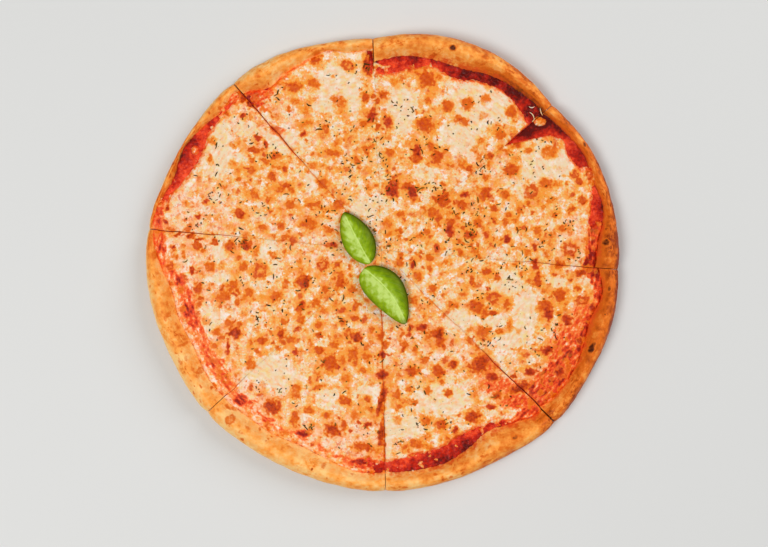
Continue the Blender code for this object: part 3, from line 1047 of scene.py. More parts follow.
# Each blister's middle and full sizes in the picture's pixels
BLISTERS = {
    Tone.PALE: (
        (442, 117, 6, 5), (212, 225, 7, 4), (244, 314, 7, 5), (380, 163, 6, 6), (323, 165, 6, 4),
        (371, 383, 8, 8), (355, 129, 9, 7), (304, 352, 8, 6), (262, 109, 8, 8), (233, 163, 9, 6),
        (400, 310, 9, 7), (290, 270, 8, 6),
    ),
    Tone.GOLDEN: (
        (306, 112, 8, 9), (295, 102, 9, 7), (305, 124, 14, 6), (336, 141, 7, 10), (484, 116, 10, 7),
        (462, 162, 8, 8), (476, 149, 8, 9), (481, 141, 9, 7), (543, 207, 6, 6), (552, 200, 12, 8),
        (475, 394, 7, 8), (388, 224, 10, 9), (390, 234, 8, 6), (317, 373, 7, 5), (355, 415, 11, 9),
        (509, 327, 6, 10), (509, 152, 6, 5), (489, 164, 6, 5), (233, 145, 8, 6), (245, 185, 6, 8),
        (223, 187, 8, 6), (346, 378, 9, 8), (398, 421, 8, 10), (427, 436, 6, 6), (318, 86, 6, 6),
        (560, 262, 12, 7), (410, 402, 14, 6), (206, 321, 8, 8), (175, 257, 8, 6), (299, 261, 6, 6),
    ),
    Tone.ORANGE: (
        (313, 83, 12, 9), (339, 101, 16, 11), (325, 129, 8, 8), (334, 153, 15, 9), (357, 160, 8, 8),
        (366, 150, 7, 9), (323, 183, 12, 10), (428, 100, 6, 8), (457, 119, 8, 9), (431, 146, 9, 8),
        (390, 153, 10, 9), (401, 214, 8, 8), (427, 232, 8, 7), (418, 276, 8, 9), (433, 289, 8, 8),
        (453, 305, 10, 8), (316, 303, 12, 8), (356, 305, 6, 8), (343, 322, 7, 6), (212, 141, 7, 9),
        (210, 160, 6, 10), (251, 170, 9, 8), (265, 161, 8, 7), (310, 224, 13, 16), (338, 205, 9, 12),
        (317, 204, 9, 6), (328, 230, 8, 7), (210, 267, 10, 10), (243, 267, 8, 10), (273, 255, 8, 9),
        (232, 285, 12, 10), (223, 297, 14, 12), (238, 302, 6, 8), (249, 292, 7, 9), (276, 296, 12, 11),
        (217, 332, 8, 8), (230, 324, 10, 8), (240, 324, 6, 6), (284, 322, 7, 8), (294, 420, 7, 10),
        (309, 410, 11, 7), (296, 390, 9, 13), (319, 387, 12, 5), (353, 354, 12, 11), (363, 370, 9, 6),
        (366, 357, 10, 8), (397, 395, 8, 11), (399, 407, 7, 6), (428, 391, 8, 9), (426, 421, 9, 10),
        (416, 444, 16, 8), (410, 388, 8, 6), (415, 402, 8, 5), (483, 332, 14, 14), (500, 332, 8, 6),
        (559, 265, 10, 8), (507, 305, 9, 10), (550, 151, 19, 11), (528, 151, 8, 6), (505, 195, 8, 9),
        (485, 178, 7, 6), (486, 99, 9, 10), (500, 135, 10, 11), (251, 364, 10, 10), (305, 283, 8, 12),
        (372, 96, 5, 5), (280, 190, 10, 8), (268, 200, 9, 7), (290, 205, 12, 8), (255, 195, 8, 9),
        (240, 215, 9, 6), (285, 238, 10, 6), (262, 228, 9, 8), (432, 212, 8, 10), (478, 222, 9, 8),
        (505, 222, 8, 8), (520, 210, 7, 8), (460, 252, 10, 6), (400, 262, 8, 9), (430, 258, 9, 6),
        (385, 345, 9, 9), (405, 345, 8, 9), (425, 360, 9, 8), (318, 325, 9, 7), (290, 340, 9, 8),
        (300, 320, 8, 8), (335, 345, 10, 7), (353, 335, 8, 8), (372, 330, 7, 8), (538, 230, 9, 7),
        (562, 228, 9, 8), (555, 215, 8, 7), (340, 275, 8, 8), (325, 290, 8, 9), (352, 290, 8, 9),
        (415, 300, 8, 8),
    ),
    Tone.DEEP: (
        (295, 87, 13, 10), (365, 97, 9, 9), (384, 95, 8, 7), (377, 101, 6, 6), (448, 106, 12, 12),
        (467, 104, 13, 12), (465, 121, 10, 8), (512, 112, 12, 12), (425, 125, 17, 15), (427, 79, 16, 17),
        (416, 158, 11, 9), (437, 157, 12, 13), (517, 144, 10, 7), (490, 156, 11, 7), (511, 170, 15, 12),
        (547, 183, 14, 10), (485, 194, 10, 13), (468, 168, 9, 7), (443, 200, 15, 15), (407, 186, 12, 8),
        (338, 264, 8, 6), (340, 283, 9, 10), (356, 319, 8, 6), (272, 177, 9, 9), (285, 185, 8, 6),
        (285, 169, 6, 6), (253, 150, 14, 7), (226, 114, 6, 7), (197, 246, 11, 9), (230, 246, 12, 10),
        (198, 288, 9, 13), (201, 298, 7, 5), (302, 282, 13, 12), (300, 308, 7, 12), (262, 341, 9, 8),
        (235, 333, 12, 10), (319, 350, 10, 7), (319, 335, 8, 8), (330, 363, 15, 17), (345, 401, 12, 8),
        (367, 400, 8, 7), (363, 447, 18, 9), (437, 333, 14, 10), (440, 339, 10, 16), (439, 372, 12, 12),
        (412, 371, 12, 10), (441, 425, 12, 9), (469, 366, 6, 4), (470, 235, 13, 9), (486, 272, 10, 8),
        (497, 278, 7, 9), (472, 281, 6, 10), (538, 279, 8, 13), (560, 295, 13, 12), (476, 307, 15, 13),
        (545, 306, 14, 12), (582, 200, 8, 8), (572, 209, 7, 6), (580, 182, 7, 6), (395, 181, 10, 10),
        (450, 222, 10, 8), (462, 205, 9, 9), (494, 208, 9, 7), (316, 60, 9, 8),
    ),
    Tone.RED: (
        (371, 116, 9, 12), (388, 122, 9, 13), (417, 149, 9, 12), (392, 191, 12, 14), (413, 193, 9, 13),
        (450, 231, 10, 11), (304, 134, 6, 5), (266, 145, 5, 8), (258, 138, 6, 6), (243, 116, 5, 5),
        (197, 216, 6, 6), (168, 208, 6, 7), (206, 202, 7, 5), (165, 222, 7, 6), (173, 247, 5, 5),
        (413, 265, 5, 9), (422, 327, 12, 8), (383, 375, 11, 10), (367, 425, 8, 7), (228, 348, 4, 14),
        (332, 244, 10, 5), (507, 239, 8, 9), (536, 266, 8, 12), (465, 195, 11, 7), (493, 377, 14, 9),
        (547, 350, 14, 9), (567, 320, 11, 11), (593, 308, 8, 9), (491, 407, 9, 6), (548, 315, 9, 11),
        (383, 354, 8, 7), (455, 430, 6, 6), (296, 352, 7, 6), (530, 372, 12, 8), (560, 372, 10, 12),
        (192, 271, 6, 6),
    ),
    # The brown spots along the cuts are painted shade on the cut shoulders and in the cuts' openings; the
    # others are browned cheese.
    Tone.BROWN_AND_CUT_SHADE: (
        (368, 66, 8, 20), (381, 400, 5, 34), (381, 435, 6, 26), (481, 364, 15, 20), (215, 242, 8, 5),
        (246, 245, 12, 11), (272, 407, 16, 15), (333, 430, 13, 13), (281, 334, 9, 10), (357, 338, 10, 9),
        (453, 365, 8, 8), (448, 394, 8, 8), (497, 396, 9, 7), (535, 247, 6, 7), (581, 273, 10, 7),
        (493, 313, 10, 6), (520, 388, 22, 10), (473, 417, 14, 13), (580, 341, 6, 6), (243, 98, 7, 9),
        (249, 104, 6, 6), (178, 234, 10, 4), (190, 236, 10, 5), (199, 239, 8, 4), (513, 376, 5, 5),
    ),
    Tone.RINGED: (
        (239, 213, 11, 9), (260, 271, 15, 14), (323, 265, 11, 11), (348, 66, 12, 10), (170, 266, 9, 8),
        (531, 191, 15, 15), (570, 249, 16, 14), (493, 298, 12, 12), (582, 300, 13, 10), (576, 175, 8, 8),
        (589, 175, 7, 8), (234, 333, 11, 9),
    ),
}


@dataclass
class Spots:
    """Toasted blisters, one row each: place, half sizes, turn, tone and height."""

    count: int = 0
    table: Array = field(default_factory=lambda: np.zeros((MOST_BLISTERS, 9)))

    def add(self, x: float, y: float, long: float, wide: float, turn: float, tone: tuple[float, ...]) -> None:
        """Adds one blister.

        Args:
            x: Its place along X.
            y: Its place along Y.
            long: Half its length.
            wide: Half its width.
            turn: The angle of its length.
            tone: How dark, red and hollow it is, and its height in millimetres.
        """
        dark, red, hollow, rise = tone
        self.table[self.count] = (x, y, long, wide, turn, dark, red, hollow, rise * MM)
        self.count += 1

    def clear(self, x: float, y: float, room: float) -> bool:
        """Whether a place is this far from every blister's edge."""
        placed = self.table[:self.count]
        return bool((np.hypot(placed[:, 0] - x, placed[:, 1] - y) > room + 0.7 * placed[:, 2]).all())

    def near(self, x: Array, y: Array, reach: float) -> Array:
        """The blisters whose middle lies within reach of the places' box."""
        placed = self.table[:self.count]
        inside = ((placed[:, 0] > x.min() - reach) & (placed[:, 0] < x.max() + reach)
                  & (placed[:, 1] > y.min() - reach) & (placed[:, 1] < y.max() + reach))
        return placed[inside]


@dataclass
class Cheese:
    """The melted cheese: one sheet for each slice."""

    layout: Layout
    layers: Layers
    pitch: float = 0.5 * MM
    seed: int = 23
    overlap: float = 1.6 * MM
    lip: float = 2.0 * MM
    spread_in: float = 8.0 * MM
    edge_wobble: float = 1.2 * MM
    edge_ripple: float = 0.6 * MM
    onto_rim: float = 2.0 * MM
    lace_reach: float = 5 * MM
    island_reach: float = 4 * MM
    island_ripple: float = 1.2 * MM
    bends: tuple = ((1.1 * MM, 4.6 * MM), (0.8 * MM, 1.8 * MM))
    widest_blister: float = 12 * MM
    pool_sink: float = 0.3 * MM
    waves: float = 0.32 * MM
    ripples: float = 0.16 * MM
    streaks: float = 0.35 * MM
    seam_gap: float = 0.05 * MM
    seam_depth: float = 0.7 * MM
    seam_reach: float = 1.0 * MM
    seam_strength: tuple = (0.85, 0.55, 0.12, 1.1, 0.9, 0.6, 1.0, 1.0)
    sway: float = 0.9 * MM
    opens: tuple = (84, 106, 118, 72, 92, 118, 100, 90)
    lace_by_angle: tuple = (
        (0, -0.6), (6, -0.2), (9, 0.9), (20, 0.9), (35, 1.0), (60, 0.75), (88, 0.55), (97, -0.4),
        (114, -0.4), (122, 0.0), (134, 0.1), (142, 0.5), (152, 0.9), (164, 0.6), (173, -0.4), (225, -0.6),
        (262, -0.4), (272, 0.5), (298, 0.6), (305, 0.0), (315, -0.6), (345, -0.6), (360, -0.6),
    )
    soak_by_angle: tuple = (
        (0, 0.85), (14, 0.5), (30, 0.2), (85, 0.0), (98, 0.0), (116, 0.3), (128, 0.55), (140, 0.3),
        (160, 0.4), (178, 0.5), (188, 0.42), (222, 0.36), (250, 0.3), (262, 0.5), (275, 0.2), (298, 0.3),
        (310, 0.55), (335, 0.65), (360, 0.85),
    )
    seeded: tuple = ((1600, 1.5 * MM, 2.6 * MM, 2.2 * MM), (3800, 0.6 * MM, 1.4 * MM, 1.1 * MM))
    seeded_reach: float = 0.145
    seeded_dark: tuple = (0.25, 0.72)
    seeded_red: tuple = (0, 0, 0.2, 0.6)
    seeded_rise: float = 0.14
    drawn_share: float = 0.56
    turned_by: float = 0.4
    spots: Spots = field(default_factory=Spots)

    def __post_init__(self) -> None:
        """Spreads the blisters."""
        self.wave = Unevenness(self.seed)
        self.ripple = Unevenness(self.seed + 1)
        self.spread_blisters()

    def spread_blisters(self) -> None:
        """Puts down the blisters that the picture shows, then small faint ones where there is room."""
        draw = random.Random(self.seed)
        for tone, rows in BLISTERS.items():
            for across, down, wide, high in rows:
                turn = draw.uniform(-self.turned_by, self.turned_by)
                self.spots.add(*on_table(across, down), self.drawn_share * wide * PIXEL,
                               self.drawn_share * high * PIXEL, turn, tone.value)
        for tries, low, high, room in self.seeded:
            for _ in range(tries):
                angle, reach = draw.uniform(0, 2 * math.pi), math.sqrt(draw.random()) * self.seeded_reach
                x = float(self.layout.centre[0] + reach * math.cos(angle))
                y = float(self.layout.centre[1] + reach * math.sin(angle))
                heat = self.heat(x, y)
                if draw.random() > heat or not self.spots.clear(x, y, room):
                    continue
                size = draw.uniform(low, high)
                dark = draw.uniform(*self.seeded_dark) * (0.5 + 0.5 * heat)
                self.spots.add(x, y, size * draw.uniform(1.0, 1.7), size, draw.uniform(0, math.pi),
                               (dark, draw.choice(self.seeded_red), 0, self.seeded_rise * size / MM))

    def heat(self, x: float, y: float) -> float:
        """How strongly the cheese is toasted round a place, at most 1."""
        place = (np.array([x]), np.array([y]))
        return float(np.clip(0.5 + 0.5 * cover(TOASTED, *place) - 0.45 * cover(POOLS, *place), 0.06, 1)[0])

    def edge(self, index: int, share: Array, x: Array, y: Array) -> Array:
        """How far places lie inside the cheese's ragged edge.

        Args:
            index: The slice.
            share: The places' shares of its angle.
            x: Places along X.
            y: Places along Y.

        Returns:
            The distances, less than 0 where there is no cheese.
        """
        radius = self.layout.reach(x, y)
        degrees = np.degrees(self.layout.cut_angle(index) + share * self.layout.span(index)) % 360
        within = self.layout.cheese_edge(index, share) - radius
        within += self.edge_wobble * self.wave.rough(x, y, 6 * MM)
        within += self.edge_ripple * self.ripple.rough(x, y, 2.4 * MM)
        lace = 0.75 * self.ripple.rough(x, y, 5.5 * MM) + 0.2 - by_angle(self.lace_by_angle, degrees)
        onto_rim = self.layout.foot(index, share) - radius + self.onto_rim
        lace = np.minimum(lace * self.lace_reach, onto_rim)
        island = cover(ISLANDS, x, y, 0.6)
        islands = (island - 0.5) * self.island_reach + self.island_ripple * self.ripple.rough(x, y, 4 * MM)
        islands = np.where(island > 0.02, islands, within)
        bites = (0.5 - cover(BITES, x, y, 0.5)) * self.island_reach
        return np.minimum(np.maximum(np.maximum(within, lace), islands), bites)

    def blisters(self, x: Array, y: Array) -> tuple[Array, ...]:
        """What the blisters do at each place.

        Args:
            x: Places along X.
            y: Places along Y.

        Returns:
            How toasted it is, how golden round about, how red, and how high it stands.
        """
        bent_x, bent_y = x, y
        for bend, size in self.bends:
            bent_x = bent_x + bend * self.wave.at(x, y, size)
            bent_y = bent_y + bend * self.ripple.at(x, y, size)
        ragged = 0.36 * self.ripple.rough(x, y, 2.0 * MM, 2)
        pale, plain = np.ones_like(x), np.ones_like(x)
        height, blush = np.zeros_like(x), np.zeros_like(x)
        nearby = self.spots.near(x, y, self.widest_blister)
        for spot_x, spot_y, long, wide, turn, dark, red, hollow, rise in nearby:
            reach = 2.3 * max(long, wide) + 2 * MM
            near = np.nonzero((np.abs(bent_x - spot_x) < reach) & (np.abs(bent_y - spot_y) < reach))[0]
            away_x, away_y = bent_x[near] - spot_x, bent_y[near] - spot_y
            ahead = (away_x * math.cos(turn) + away_y * math.sin(turn)) / long
            aside = (away_y * math.cos(turn) - away_x * math.sin(turn)) / wide
            away = np.hypot(ahead, aside) + ragged[near]
            core = hollow * ease(0.75, 0.2, away)
            pale[near] *= 1 - dark * ease(1.36, 0.36, away) * (1 - core)
            plain[near] *= 1 - min(1.0, 1.4 * dark) * ease(1.9, 0.7, away)
            blush[near] = np.maximum(blush[near], red * ease(1.3, 0.5, away))
            dome = np.clip(1 - np.maximum(away, 0) ** 2, 0, 1) ** 1.5
            height[near] = np.maximum(height[near], rise * dome * (1 - 0.5 * core))
        return 1 - pale, 1 - plain, blush, height

    def seams(self, index: int, x: Array, y: Array) -> tuple[Array, ...]:
        """What the cuts do to the cheese beside them, where it has run together again.

        Args:
            index: The slice.
            x: Places along X.
            y: Places along Y.

        Returns:
            How deep it dips, how toasted it is with painted shade on the side that faces away from the light,
            and how pale it is with painted light on the side that faces it.
        """
        dip, toast, pale = np.zeros_like(x), np.zeros_like(x), np.zeros_like(x)
        for number, side in cuts(index):
            away, radius = self.layout.from_cut(number, side, x, y)
            away = np.maximum(away, 0)
            uneven = 0.75 + 0.6 * self.wave.rough(radius, np.full_like(x, number * 0.07), 9 * MM)
            uneven = np.clip(uneven, 0.15, 1.4)
            opened = self.opened(number, radius)
            strength = self.seam_strength[number % len(WEDGES)]
            sunk = self.seam_depth * (strength * uneven + 0.7 * opened)
            dip = np.maximum(dip, sunk * np.exp(-away / self.seam_reach))
            # Painted light and shade beside the cut: the side that faces away from the lamp on the left gets
            # painted shade mixed into its toast, and the side that faces the lamp gets a painted pale strip.
            # A little toast stays on both sides.
            facing = math.sin(self.layout.cut_angle(number)) * side
            tint = strength * uneven * ease(4 * MM, 34 * MM, radius)
            toast = np.maximum(toast, max(facing, 0.35) * 0.62 * tint * np.exp(-(away / (1.4 * MM)) ** 2))
            pale = np.maximum(pale, max(-facing, 0) * tint * np.exp(-(away / (3.2 * MM)) ** 2))
        return dip, toast, pale

    def opened(self, number: int, radius: Array) -> Array:
        """How far a cut has stayed open, from 0 near the middle to 1 at the rim."""
        opens = self.opens[number % len(WEDGES)] * MM
        return ease(opens - 8 * MM, opens + 14 * MM, radius)

    def stains(self, index: int, share: Array, x: Array, y: Array, inside: Array) -> Pair:
        """Where the cheese's skin is soaked in sauce.

        Args:
            index: The slice.
            share: The places' shares of its angle.
            x: Places along X.
            y: Places along Y.
            inside: How far they lie inside the cheese's edge.

        Returns:
            How soaked it is, and the streaks in it, from about -1 to 1.
        """
        radius = self.layout.reach(x, y)
        turned = self.layout.cut_angle(index) + share * self.layout.span(index)
        degrees = np.degrees(turned) % 360
        streak = self.ripple.rough(turned * self.layout.typical_radius / 3.2, radius, 1.8 * MM)
        beyond = radius - self.layout.cheese_edge(index, share) + 1.8 * MM * self.ripple.rough(x, y, 4 * MM)
        to_rim = self.layout.foot(index, share) - radius
        band = by_angle(self.soak_by_angle, degrees) * ease(-1.5 * MM, 2.0 * MM, beyond)
        faded = 0.7 * ease(180, 192, degrees) * ease(270, 258, degrees) * ease(3.5 * MM, -1 * MM, to_rim)
        band *= (1 - faded) * (1 + 0.5 * self.wave.rough(x, y, 6 * MM))
        margin = 0.34 * ease(3 * MM, 0.5 * MM, inside) * ease(1 * MM, 4 * MM, to_rim)
        return np.maximum(np.maximum(cover(STAINED, x, y, 0.5), band), margin), streak

    def surface(self, index: int, x: Array, y: Array) -> tuple[Array, dict[str, Array]]:
        """The height and the look of a slice's cheese.

        Args:
            index: The slice.
            x: Places along X.
            y: Places along Y.

        Returns:
            The heights, and the values that the material reads.
        """
        share = self.share_of(index, x, y)
        inside = self.edge(index, share, x, y)
        toast, halo, red, blister = self.blisters(x, y)
        toast *= 1 - 0.22 * cover(POOLS, x, y, 0.6)
        # The cuts' dips, with painted shade and painted light beside them.
        dip, seam_toast_and_shade, seam_painted_light = self.seams(index, x, y)
        soak, streak = self.stains(index, share, x, y, inside)
        # The painted light beside the cuts counts as pooled cheese.
        pool = np.clip(cover(POOLS, x, y) + 0.8 * seam_painted_light, 0, 1) * (1 - 0.85 * toast)
        to_cut = np.maximum(self.layout.to_cuts(index, x, y), 0)
        lumps = self.layers.lumps(x, y, self.layers.cheese_lump_size, self.layers.cheese_seed)
        sunk = self.layers.cheese_shoulder * np.exp(-to_cut / self.layers.shoulder_reach)
        top = self.layers.cheese_top - sunk + self.layers.cheese_lumps * lumps - dip
        top += blister - self.pool_sink * pool + self.waves * self.wave.rough(x, y, 5 * MM) * (1 - 0.7 * pool)
        top += self.ripples * self.ripple.at(x, y, 1.4 * MM) * (1 - 0.85 * pool)
        top += self.streaks * soak * streak
        depth = 1 - np.clip(inside / self.lip, 0, 1)
        thickness = np.sqrt(np.clip(1 - depth ** 2, 0, 1)) * (0.5 + 0.5 * ease(0, self.spread_in, inside))
        floor = self.layers.sauce_top
        height = np.where(inside > 0, floor + (top - floor) * thickness, floor + 0.9 * inside)
        film = 0.6 * self.ripple.rough(x, y, 5 * MM) + cover(THIN, x, y, 0.6) + 0.4 * ease(5 * MM, 0, inside)
        thin = np.clip(film, 0, 1.4) * (1 - 0.85 * pool) * (1 - 0.5 * toast)
        warm = 0.75 * halo + 0.36 + 0.6 * self.wave.rough(x, y, 9 * MM) - 0.7 * pool - 0.15 * thin
        toast = 1 - (1 - toast) * (1 - seam_toast_and_shade)
        return height, {"toast": toast, "warm": np.clip(warm, 0, 1), "thin": thin, "red": red, "pool": pool,
                        "soak": soak * (1 + streak)}

    def share_of(self, index: int, x: Array, y: Array) -> Array:
        """The places' shares of a slice's angle, held between its cuts."""
        first, last = self.layout.cut_angle(index), self.layout.cut_angle(index + 1)
        middle = (first + last) / 2
        turned = self.layout.turned(x, y) - middle
        angle = middle + (turned + math.pi) % (2 * math.pi) - math.pi
        return np.clip((angle - first) / (last - first), 0, 1)

    def pull(self, index: int, x: Array, y: Array) -> Pair:
        """Opens the cuts towards the rim and bends them a little from side to side.

        Args:
            index: The slice.
            x: Places along X.
            y: Places along Y.

        Returns:
            The places after the change.
        """
        moved_x, moved_y = x.copy(), y.copy()
        for number, side in cuts(index):
            away, radius = self.layout.from_cut(number, side, x, y)
            away = np.maximum(away, 0)
            angle = self.layout.cut_angle(number)
            opening = 0.45 * self.layout.half_kerf(number, radius) * self.opened(number, radius)
            bend = self.wave.rough(radius, np.full_like(x, (number % len(WEDGES)) * 0.11 + 0.5), 18 * MM)
            bend = self.sway * bend * ease(2 * MM, 20 * MM, radius) * np.exp(-away / (6 * MM))
            shift = side * opening * np.exp(-away / (2.5 * MM)) + bend
            moved_x -= shift * math.sin(angle)
            moved_y += shift * math.cos(angle)
        return moved_x, moved_y

    def slice_mesh(self, index: int) -> Mesh:
        """Builds one slice's cheese as a closed mesh with the values of its look."""
        first, last = self.layout.cut_angle(index), self.layout.cut_angle(index + 1)
        shares = np.linspace(0, 1, 60)
        length = float(self.layout.foot(index, shares).max()) + self.onto_rim
        half_width = length * math.sin((last - first) / 2) + self.pitch
        flat = bmesh.new()
        bmesh.ops.create_grid(flat, x_segments=round(length / self.pitch),
                              y_segments=round(2 * half_width / self.pitch), size=0.5)
        bmesh.ops.translate(flat, verts=flat.verts, vec=(0.5, 0, 0))
        bmesh.ops.scale(flat, verts=flat.verts, vec=(length, 2 * half_width, 1))
        bmesh.ops.rotate(flat, verts=flat.verts, matrix=Matrix.Rotation((first + last) / 2, 3, "Z"))
        bmesh.ops.translate(flat, verts=flat.verts, vec=(*self.layout.centre, 0))
        for number, side in cuts(index):
            point, normal = self.layout.cut_face(number, side, self.seam_gap)
            every = flat.verts[:] + flat.edges[:] + flat.faces[:]
            bmesh.ops.bisect_plane(flat, geom=every, dist=10 * TOUCHING, plane_co=point, plane_no=normal,
                                   clear_outer=True)
        places = np.array([corner.co for corner in flat.verts])
        share = self.share_of(index, places[:, 0], places[:, 1])
        beyond = self.edge(index, share, places[:, 0], places[:, 1]) < -self.overlap
        spare = [corner for corner, far in zip(flat.verts, beyond) if far]
        bmesh.ops.delete(flat, geom=spare, context="VERTS")
        mesh = bpy.data.meshes.new(f"cheese_{index + 1}")
        flat.to_mesh(mesh)
        flat.free()
        places = corners(mesh)
        places[:, 2], looks = self.surface(index, places[:, 0], places[:, 1])
        places[:, 0], places[:, 1] = self.pull(index, places[:, 0], places[:, 1])
        move_corners(mesh, places)
        for name, values in looks.items():
            paint(mesh, name, values)
        self.close(mesh)
        return mesh

    def close(self, mesh: Mesh) -> None:
        """Gives an open sheet its cut faces and its underside."""
        body = bmesh.new()
        body.from_mesh(mesh)
        rim = [edge for edge in body.edges if edge.is_boundary]
        skirt = bmesh.ops.extrude_edge_only(body, edges=rim)["geom"]
        for corner in skirt:
            if isinstance(corner, bmesh.types.BMVert):
                corner.co.z = self.layers.sauce_top - 0.95 * self.overlap
        lower = [edge for edge in skirt if isinstance(edge, bmesh.types.BMEdge) and edge.is_boundary]
        bmesh.ops.triangle_fill(body, edges=lower, use_beauty=False)
        bmesh.ops.recalc_face_normals(body, faces=body.faces)
        body.to_mesh(mesh)
        body.free()

    def build(self) -> None:
        """Builds the cheese of every slice."""
        stand_slices("melted_cheese", "cheese", CheeseFinish().material(), self.slice_mesh)


# The dough

@dataclass(frozen=True)
class Mark:
    """A scorched or blistered place on the rim, by angle in degrees and sizes in millimetres."""

    angle: float
    radius: float
    along: float
    across: float
    dark: float
    rise: float = 0.0
    hollow: float = 0.0


RIM_MARKS = tuple(Mark(*row) for row in (
    (1.8, 141.8, 3.4, 3.0, 0.95, 0.3), (5.5, 143.0, 1.4, 1.4, 0.8), (27.5, 145.0, 2.2, 1.8, 0.9),
    (32.3, 143.0, 2.8, 2.2, 0.6, 0.4), (47.5, 133.6, 1.6, 1.6, 0.8), (70.5, 134.8, 3.0, 2.4, 1.0, 0.3),
    (68.0, 129.8, 3.0, 2.2, 0.5), (124.0, 127.0, 1.2, 0.9, 0.7), (127.0, 131.0, 1.4, 0.8, 0.6),
    (108.0, 131.0, 3.4, 2.6, 0.55, 0.4), (141.5, 139.0, 1.4, 1.2, 0.8),
    (181.3, 143.7, 2.6, 1.8, 0.7, 0.3, 0.35), (186.0, 142.4, 2.2, 1.4, 0.4), (197.0, 141.0, 2.0, 3.0, 0.5),
    (205.5, 138.0, 1.6, 5.4, 0.5), (213.7, 137.5, 2.2, 2.4, 0.7, 0.4, 0.35), (219.0, 138.3, 1.2, 1.2, 0.7),
    (228.3, 143.0, 3.4, 3.8, 0.72, 0.9, 0.35), (204.5, 132.6, 1.8, 1.8, 0.65, 0.3, 0.35),
    (252.5, 145.0, 1.2, 1.2, 0.9), (255.0, 140.5, 2.4, 1.8, 0.45), (301.0, 145.6, 2.6, 1.8, 0.55),
    (305.5, 145.0, 3.0, 2.0, 0.85), (307.5, 140.5, 2.2, 1.6, 0.7), (296.0, 144.3, 1.4, 1.2, 0.8),
    (335.0, 146.5, 5.4, 2.6, 1.0, 0.2), (350.5, 146.0, 3.2, 1.8, 0.85), (344.0, 146.8, 1.2, 1.2, 0.9),
))


